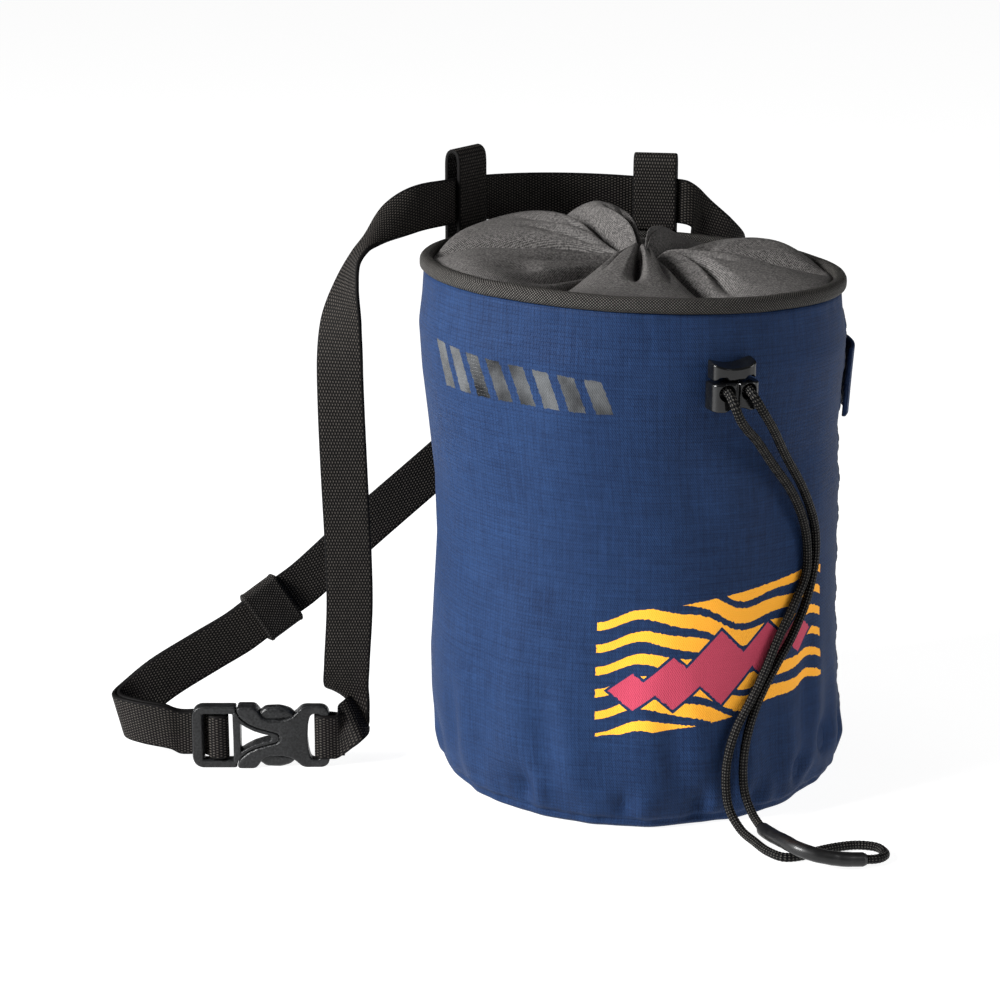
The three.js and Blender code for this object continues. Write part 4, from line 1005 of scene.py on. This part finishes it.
# A belt loop: up from the rim, over the belt and down the cloth, as the part has it.
def loopRows(angle, rise):
    s = beltSettings
    legReach = s["thick"] + s["loopSlack"]
    turn = radians(angle)
    out = np.array([np.cos(turn), np.sin(turn), 0])
    across = np.array([-np.sin(turn), np.cos(turn), 0])
    top = beltHeightAt(angle) + s["width"] / 2
    rim = rimHeight(angle)
    wall = np.linalg.norm(wallPoint(angle, (rim - s["loopTail"]) / rim, detail=False)[:2]) / mm
    tail = max(legReach, wall + bindingSettings["gap"] + s["thick"] / 2 + s["loopStandOff"] - beltRadius)
    halfAngle = np.degrees(s["loopWidth"] / 2 / beltRadius)
    higher = max(rimHeight(angle - halfAngle), rimHeight(angle + halfAngle))
    foot = higher + 2 * bindingSettings["gap"] + bindingSettings["tall"]
    shoulder = top + rise - s["loopShoulder"]
    profile = np.array([
        [-legReach, foot], [-legReach, top - s["width"] / 2], [-legReach, top], [-0.75 * legReach, shoulder],
        [0, top + rise], [0.75 * legReach, shoulder], [legReach, top], [legReach, top - s["width"]],
        [tail, rim], [tail, rim - s["loopTail"]]])
    places = out * (beltRadius + profile[:, :1]) + [0, 0, 1] * profile[:, 1:]
    return np.hstack([places, np.tile(across, (len(profile), 1))])


for name, side, rise in (("belt_loop_left", 1, 9.5), ("belt_loop_right", -1, 8)):
    rows = loopRows(90 + side * beltSettings["loopSpread"], rise)
    stations = stationsOf(rows, beltSettings["loopSteps"])
    loop = strapMesh(name + "_webbing", stations, beltSettings["loopWidth"])
    addPiece(loop, blackWebbing, "webbing", name)
print("belt and loops made")


# Keeper: a flat tube round belt and tail whose two edges are rolled.
def makeKeeper():
    s = keeperSettings
    face = np.cross(keeperAcross, keeperAxis)
    lap = beltSettings["thick"] + beltSettings["clearance"]
    middle = keeperPlace + face * lap / 2
    share = np.concatenate([np.linspace(-1, 1, s["outsideRows"]), np.linspace(1, -1, s["insideRows"])])
    along = share * s["length"] / 2
    outside = np.arange(len(share)) < s["outsideRows"]
    edge = np.abs(share)
    roll = np.where(outside, 0.25 * np.exp(-((edge - 0.84) / 0.07) ** 2) - 0.9 * ease(edge, 0.9, 1.0), 0)
    room = np.array([beltSettings["width"], beltSettings["thick"] + lap]) + 2 * beltSettings["clearance"]
    wide = roundedSection(*(room + 2 * s["wall"]), 1.7, 7, 8)
    tight = roundedSection(*room, 0.4, 7, 8)
    scale = 1 + roll[:, None, None] / np.array([9.4, 3.3])  # half the keeper's width and thickness
    ring = np.where(outside[:, None, None], wide[None] * scale, tight[None])
    onAxis = middle + along[:, None, None] * keeperAxis
    points = (onAxis + ring[..., :1] * keeperAcross + ring[..., 1:] * face) * mm
    uv = gridUv(np.append(along, along[0]), walked(closedPath(wide))) * mm
    return gridMesh("elastic_keeper", points, uv, closeRows=True)


addPiece(makeKeeper(), keeperElastic, "webbing", "belt_keeper")

# buckle: plates with rounded edges, drawn as outlines and holes in the buckle's own frame


# Corners of an outline cut to a curve: each is replaced by a quadratic arc that starts and ends
# a given distance along its two sides.
def roundCorners(points, radius, steps=5):
    points = np.asarray(points, float)
    before, after = np.roll(points, 1, axis=0), np.roll(points, -1, axis=0)
    reachA = np.minimum(radius, 0.45 * np.linalg.norm(before - points, axis=1))[:, None]
    reachB = np.minimum(radius, 0.45 * np.linalg.norm(after - points, axis=1))[:, None]
    a = points + unit(before - points) * reachA
    b = points + unit(after - points) * reachB
    t = np.linspace(0, 1, steps)[None, :, None]
    arcs = (1 - t) ** 2 * a[:, None] + 2 * t * (1 - t) * points[:, None] + t**2 * b[:, None]
    return arcs.reshape(-1, 2)


# An outline given above the buckle's middle line, with its mirror image below it.
def mirrored(points):
    lower = [[u, -v] for u, v in points if v > 0]
    return points + lower[::-1]


# A plate from closed outlines: filled between its edges, with a rounded rim of the given size. Outlines
# have no corner in line with its neighbours at their left end, where Blender reads which way they run.
def plateArrays(outlines, thick, rim):
    curve = bpy.data.curves.new("outline", "CURVE")
    curve.dimensions = "2D"
    curve.fill_mode = "BOTH"
    curve.extrude = (thick / 2 - rim) * mm
    curve.bevel_depth = rim * mm
    curve.bevel_resolution = 3
    curve.offset = -rim * mm
    for i, outline in enumerate(outlines):  # the edge runs clockwise, holes the other way
        ahead = np.roll(outline, -1, axis=0)
        turning = np.sum(outline[:, 0] * ahead[:, 1] - outline[:, 1] * ahead[:, 0])
        outline = outline if (turning > 0) == (i > 0) else outline[::-1]
        spline = curve.splines.new("POLY")
        spline.points.add(len(outline) - 1)
        flat = np.column_stack([outline * mm, np.zeros(len(outline)), np.ones(len(outline))])
        spline.points.foreach_set("co", flat.ravel())
        spline.use_cyclic_u = True
    holder = addObject("outline", curve)
    bpy.context.view_layer.update()
    made = bpy.data.meshes.new_from_object(holder.evaluated_get(bpy.context.evaluated_depsgraph_get()))
    points = np.empty(len(made.vertices) * 3)
    made.vertices.foreach_get("co", points)
    faces = [list(face.vertices) for face in made.polygons]
    bpy.data.objects.remove(holder)
    bpy.data.curves.remove(curve)
    bpy.data.meshes.remove(made)
    return points.reshape(-1, 3) / mm, faces


# The same plate cut along a grid of lines, so that its thickness can vary smoothly over it.
def refinePlate(plate):
    points, faces = plate
    mesh = bpy.data.meshes.new("plate")
    mesh.from_pydata(points.tolist(), [], faces)

    def cutUp(edit):
        for axis, normal in ((0, (1, 0, 0)), (1, (0, 1, 0))):
            step = buckleSettings["cut"]
            for place in np.arange(points[:, axis].min() + step, points[:, axis].max(), step):
                everything = edit.verts[:] + edit.edges[:] + edit.faces[:]
                bmesh.ops.bisect_plane(edit, geom=everything, plane_co=np.array(normal) * place,
                                       plane_no=normal)

    editMesh(mesh, weld(1e-4), cutUp)
    flat = np.empty(len(mesh.vertices) * 3)
    mesh.vertices.foreach_get("co", flat)
    faces = [list(face.vertices) for face in mesh.polygons]
    bpy.data.meshes.remove(mesh)
    return flat.reshape(-1, 3), faces


# Plates joined into one mesh and stood up in the buckle's place.
def buckleMesh(name, plates):
    points, faces, first = [], [], 0
    for local, localFaces in plates:
        points.append(atBuckle(local[:, 0], local[:, 2], local[:, 1]))
        faces += [[corner + first for corner in face] for face in localFaces]
        first += len(local)
    mesh = bpy.data.meshes.new(name)
    mesh.from_pydata((np.vstack(points) * mm).tolist(), [], faces)
    editMesh(mesh, weld(1e-6), lookOutwards)
    smoothFaces(mesh)
    mesh.set_sharp_from_angle(angle=radians(40))
    return mesh


# The upper half of the seam between receiver and prongs, drawn in by the inset.
def seamPoints(inset):
    return [[15.6, 11 - inset], [15.2 - inset / 3, 9.57 - inset], [16.3 - inset / 3, 7.37 - inset],
            [19.1 - inset / 2, 5.0 - inset / 1.4], [22.4 - inset / 2, 3.52 - inset / 1.4],
            [26.7 - inset / 2, 2.31 - inset / 1.4], [29.2 - inset, 1.6 - inset / 2], [29.9 - inset, 0]]


# A rectangle with rounded corners.
def box(u0, u1, v0, v1, radius):
    return roundCorners([[u0, v0], [u1, v0], [u1, v1], [u0, v1]], radius)


# Receiver: thick over the latch and eased down to the thin frame that the webbing is sewn round.
def makeFemaleBuckle():
    s = buckleSettings
    outline = mirrored(seamPoints(0)[::-1] + [
        [21.2, 11], [22.6, 9.6], [23.6, 7.7], [25.6, 6.6], [30.6, 6.4], [33.8, 7.3], [35.6, 9.0], [37, 10.5],
        [38.6, 11], [44.2, 11], [45.9, 9.9], [46.5, 7.7], [46.5, 0]])
    slot = roundCorners([[38.9, 0], [39.2, -4.6], [40.1, -8.2], [43.5, -8.2], [43.5, 8.2], [40.1, 8.2],
                         [39.2, 4.6]], 1.4)
    points, faces = refinePlate(plateArrays([roundCorners(outline, 1.1), slot], s["thick"], 0.8))
    crown = 1 - 0.07 * (points[:, 1] / (s["tall"] / 2)) ** 2
    points[:, 2] *= (1 - 0.43 * ease(points[:, 0], 32, 41)) * crown
    return buckleMesh("buckle_receiver", [(points, faces)])


# Prongs: a thin frame whose rails and left bar are thicker, the bar that the webbing's fold goes over, then
# the guide with its window, and the two latch arms that show in the receiver's sides.
def makeMaleBuckle():
    s = buckleSettings
    outline = mirrored([[0, 7.7], [0.9, 9.9], [2.8, 11], [15.1, 11], [14.9, 9.6], [16.2, 6.9]])
    slot = roundCorners([[4.0, -8.2], [13.9, -8.2], [13.7, 8.2], [11.7, 8.2], [11.0, 7.2], [6.6, 7.2],
                         [5.9, 8.2], [4.0, 8.2]], 0.8)
    points, faces = refinePlate(plateArrays([roundCorners(outline, 1.1), slot], s["frameThick"], 0.5))
    rail = ease(np.abs(points[:, 1]), 7.7, 8.7)
    end = (1 - ease(points[:, 0], 3.1, 4.2)) * (points[:, 2] > 0)
    points[:, 2] *= 1 + 0.75 * np.maximum(rail, end)
    guide = mirrored(seamPoints(0.3)[1:][::-1] + [[14.0, 8.9]])
    window = mirrored([[16.4, 5.2], [18.2, 4.0], [21, 2.5], [24, 1.5], [26.6, 0.9], [27.3, 0]])
    around = plateArrays([roundCorners(guide, 0.8), roundCorners(window, 0.4)], 6.2, 0.3)
    arm = [[29, -5.6], [35.2, -6.6], [34.9, -8.2], [33.2, -9.8], [29.8, -10.8], [24.8, -10.6], [23.4, -9.4],
           [21.4, -8.2], [21.4, -5.2]]
    lower, armFaces = plateArrays([roundCorners(arm, 1.2)], 4.6, 1.5)
    upper = lower * [1, -1, 1]
    bar = box(s["grabBar"] - s["barWide"] / 2, s["grabBar"] + s["barWide"] / 2, -8.9, 8.9, 0.5)
    plates = [(points, faces), plateArrays([bar], s["barThick"], 0.4), around, (lower, armFaces),
              (upper, armFaces)]
    return buckleMesh("buckle_prongs", plates)


addPiece(makeFemaleBuckle(), bucklePlastic, "buckle_plastic", "buckle_female")
addPiece(makeMaleBuckle(), bucklePlastic, "buckle_plastic", "buckle_male")
print("buckle and keeper made")

# cord lock: a body with two cord holes and a saddle-topped button
lockSettings = {"wide": 15.8, "deep": 7.8, "bodyTall": 8.8, "buttonTall": 6.2, "bottom": 140.8,
                "front": -78.1, "holeHeight": 6.0, "holeSpacing": 7.3, "holeRadius": 2.35, "holeDepth": 3.9,
                "holeEdge": 0.25, "travel": 0.6, "lidRows": 13}


# A block whose plan is a rounded outline carried upwards: the outline is drawn in along a quarter circle
# at both ends of its height, and top and bottom are closed by rings that shrink to a pole.
def lockGrid(deep, tall, plan, rim, rows):
    outline = evenPath(closedPath(plan), 0.16)[:-1, :2]
    height = np.linspace(0, 1, rows) * tall
    fromEnd = np.minimum(height, tall - height)
    inset = rim * (1 - np.sqrt(np.clip(1 - (1 - np.clip(fromEnd / rim, 0, 1)) ** 2, 0, 1)))
    centre = np.array([0, deep / 2])
    away = unit(outline - centre)
    ring = outline[None] - away[None] * inset[:, None, None]
    body = np.concatenate([ring, np.broadcast_to(height[:, None, None], (*ring.shape[:2], 1))], axis=-1)
    shares = np.linspace(0, 1, lockSettings["lidRows"] + 1)[:-1, None, None]

    def lid(row):
        flat = centre + (row[None, :, :2] - centre) * shares
        return np.concatenate([flat, np.broadcast_to(row[None, :, 2:], (*flat.shape[:2], 1))], axis=-1)

    return np.concatenate([lid(body[0]), body, lid(body[-1])[::-1]])


# The lock seen from above: flat behind, with its front corners cut in two steps.
def lockPlan(wide, deep):
    half = wide / 2
    side = [[half - 3.0, deep], [half - 1.0, 0.9 * deep], [half, 0.7 * deep], [half, 0.6], [half - 0.6, 0]]
    other = [[-x, y] for x, y in side[::-1]]
    return roundCorners(other[1:] + side + other[:1], 0.9, 4)[::-1]


# The body: two round cord holes and a groove between them are pushed in from the front, and its foot is
# drawn up in the middle.
def makeLockBody():
    s = lockSettings
    grid = lockGrid(s["deep"], s["bodyTall"], lockPlan(s["wide"], s["deep"]), 0.7, 80)
    x, depth, z = grid[..., 0], grid[..., 1], grid[..., 2]
    front = ease(depth, 0.6 * s["deep"], 0.8 * s["deep"])
    push = 0.9 * np.exp(-(x / 0.55) ** 4)
    for side in (-1, 1):
        reach = np.hypot(x - side * s["holeSpacing"] / 2, z - s["holeHeight"])
        within = 1 - ease(reach, s["holeRadius"] - s["holeEdge"], s["holeRadius"] + s["holeEdge"])
        push = np.maximum(push, s["holeDepth"] * within)
    foot = 0.9 * np.exp(-((np.abs(x) - 0.3) / 3.0) ** 4) * (1 - ease(z, 0, 2.5))
    placed = np.stack([x, s["front"] + s["deep"] - (depth - front * push), s["bottom"] + z + foot], -1)
    return gridMesh("lock_body", placed * mm)


# The button: its top dips in the middle by a parabola and slopes down to the front, and its foot has a
# notch on each side.
def makeLockButton():
    s = lockSettings
    deep = s["deep"] - 1
    grid = lockGrid(deep, s["buttonTall"], lockPlan(s["wide"] - 1.2, deep), 0.8, 44)
    x, depth, z = grid[..., 0], grid[..., 1], grid[..., 2]
    saddle = 1.5 * np.clip(1 - (x / 7.0) ** 2, 0, 1)
    top = ease(z, 0.35 * s["buttonTall"], s["buttonTall"])
    slope = 0.9 * ease(depth, 0, deep) * top
    notch = 1.2 * np.exp(-((np.abs(x) - 4.6) / 1.6) ** 4) * (1 - ease(z, 0.2, 1.6))
    z = z - top * saddle - slope + notch
    placed = np.stack([x, s["front"] + s["deep"] - depth, s["bottom"] + s["bodyTall"] + s["travel"] + z], -1)
    return gridMesh("lock_button", placed * mm)


addPiece(makeLockBody(), lockPlastic, "lock_plastic", "cord_lock_body")
addPiece(makeLockButton(), lockPlastic, "lock_plastic", "cord_lock_button")
print("cord lock made")

# brush loop in the side seam
brushSettings = {"bottom": 121, "tall": 23, "wall": 1.5, "standOff": 0.6, "mapRadius": 70}
brushRoute = np.array([[-26, 0], [-23, 0.9], [-17, 1.9], [-9, 2.1], [-2, 1.2], [3, 0]])  # angle, mm out


# A band that leaves the seam and lies round the wall: wall points moved out by a smooth amount.
def makeBrushLoop():
    s = brushSettings
    route = smoothPath(brushRoute, 10)
    angle, out = route[:, :1], route[:, 1:]
    section = roundedSection(s["tall"], s["wall"], 0.5, 4, 8)
    z = s["bottom"] + s["tall"] / 2 + section[None, :, 0]
    away = s["standOff"] + out + s["wall"] / 2 + section[None, :, 1]
    points = wallPoint(angle, z / rimHeight(angle), away, detail=False)
    turn = np.radians(np.concatenate([angle[:1, 0], angle[:, 0], angle[-1:, 0]]) + 90)
    v = (s["bottom"] + s["tall"] / 2 + np.append(section[:, 0], section[0, 0])) * mm
    return gridMesh("brush_loop_cloth", capped(points), gridUv(turn * s["mapRadius"] * mm, v))


addPiece(makeBrushLoop(), blueCloth, "bag_cloth", "brush_loop")

# floor and light, in metres
stageSettings = {"floor": 25.0, "sky": 0.07, "glow": 0.92, "aim": 0.09}
floorMesh = bpy.data.meshes.new("floor")
reach = stageSettings["floor"]
corners = [(-reach, -reach, 0), (reach, -reach, 0), (reach, reach, 0), (-reach, reach, 0)]
floorMesh.from_pydata(corners, [], [(0, 1, 2, 3)])
floorPiece = addObject("floor", floorMesh)
floorFinish = Finish("pale_floor", 0.55, Emission_Color=(1, 1, 1, 1), Emission_Strength=stageSettings["glow"])
floorFinish.colour(floorFinish.blend(floorFinish.noise(3, 2), tint(132, 132, 132), tint(138, 138, 138)))
floorPiece.data.materials.append(floorFinish.material)

# the sky is bright where the camera looks at it and gives the bag only a little light
sky = bpy.data.worlds.new("studio")
sky.use_nodes = True
sky.node_tree.nodes["Background"].inputs["Color"].default_value = (1, 1, 1, 1)
rays = sky.node_tree.nodes.new("ShaderNodeLightPath")
seen = Field(sky.node_tree, rays.outputs["Is Camera Ray"])
strength = seen * (1 - stageSettings["sky"]) + stageSettings["sky"]
sky.node_tree.links.new(strength.socket, sky.node_tree.nodes["Background"].inputs["Strength"])
bpy.context.scene.world = sky
bpy.context.scene.view_settings.view_transform = "Standard"


# A soft box that faces the bag from a place given by its azimuth, height and distance.
def softBox(name, azimuth, height, distance, size, power):
    data = bpy.data.lights.new(name, "AREA")
    data.shape = "RECTANGLE"
    data.size, data.size_y = size
    data.energy = power
    lamp = addObject(name, data)
    turn = radians(azimuth)
    lamp.location = (distance * np.cos(turn), distance * np.sin(turn), height)
    lamp.rotation_euler = (np.arctan2(distance, height - stageSettings["aim"]), 0, turn + np.pi / 2)


softBox("key_left", -176, 0.68, 1.2, (0.4, 0.5), 44)
softBox("fill_right", -40, 0.5, 1.2, (0.4, 0.9), 5.5)
softBox("top", 130, 1.5, 0.5, (0.6, 0.6), 3)
print("stage made")
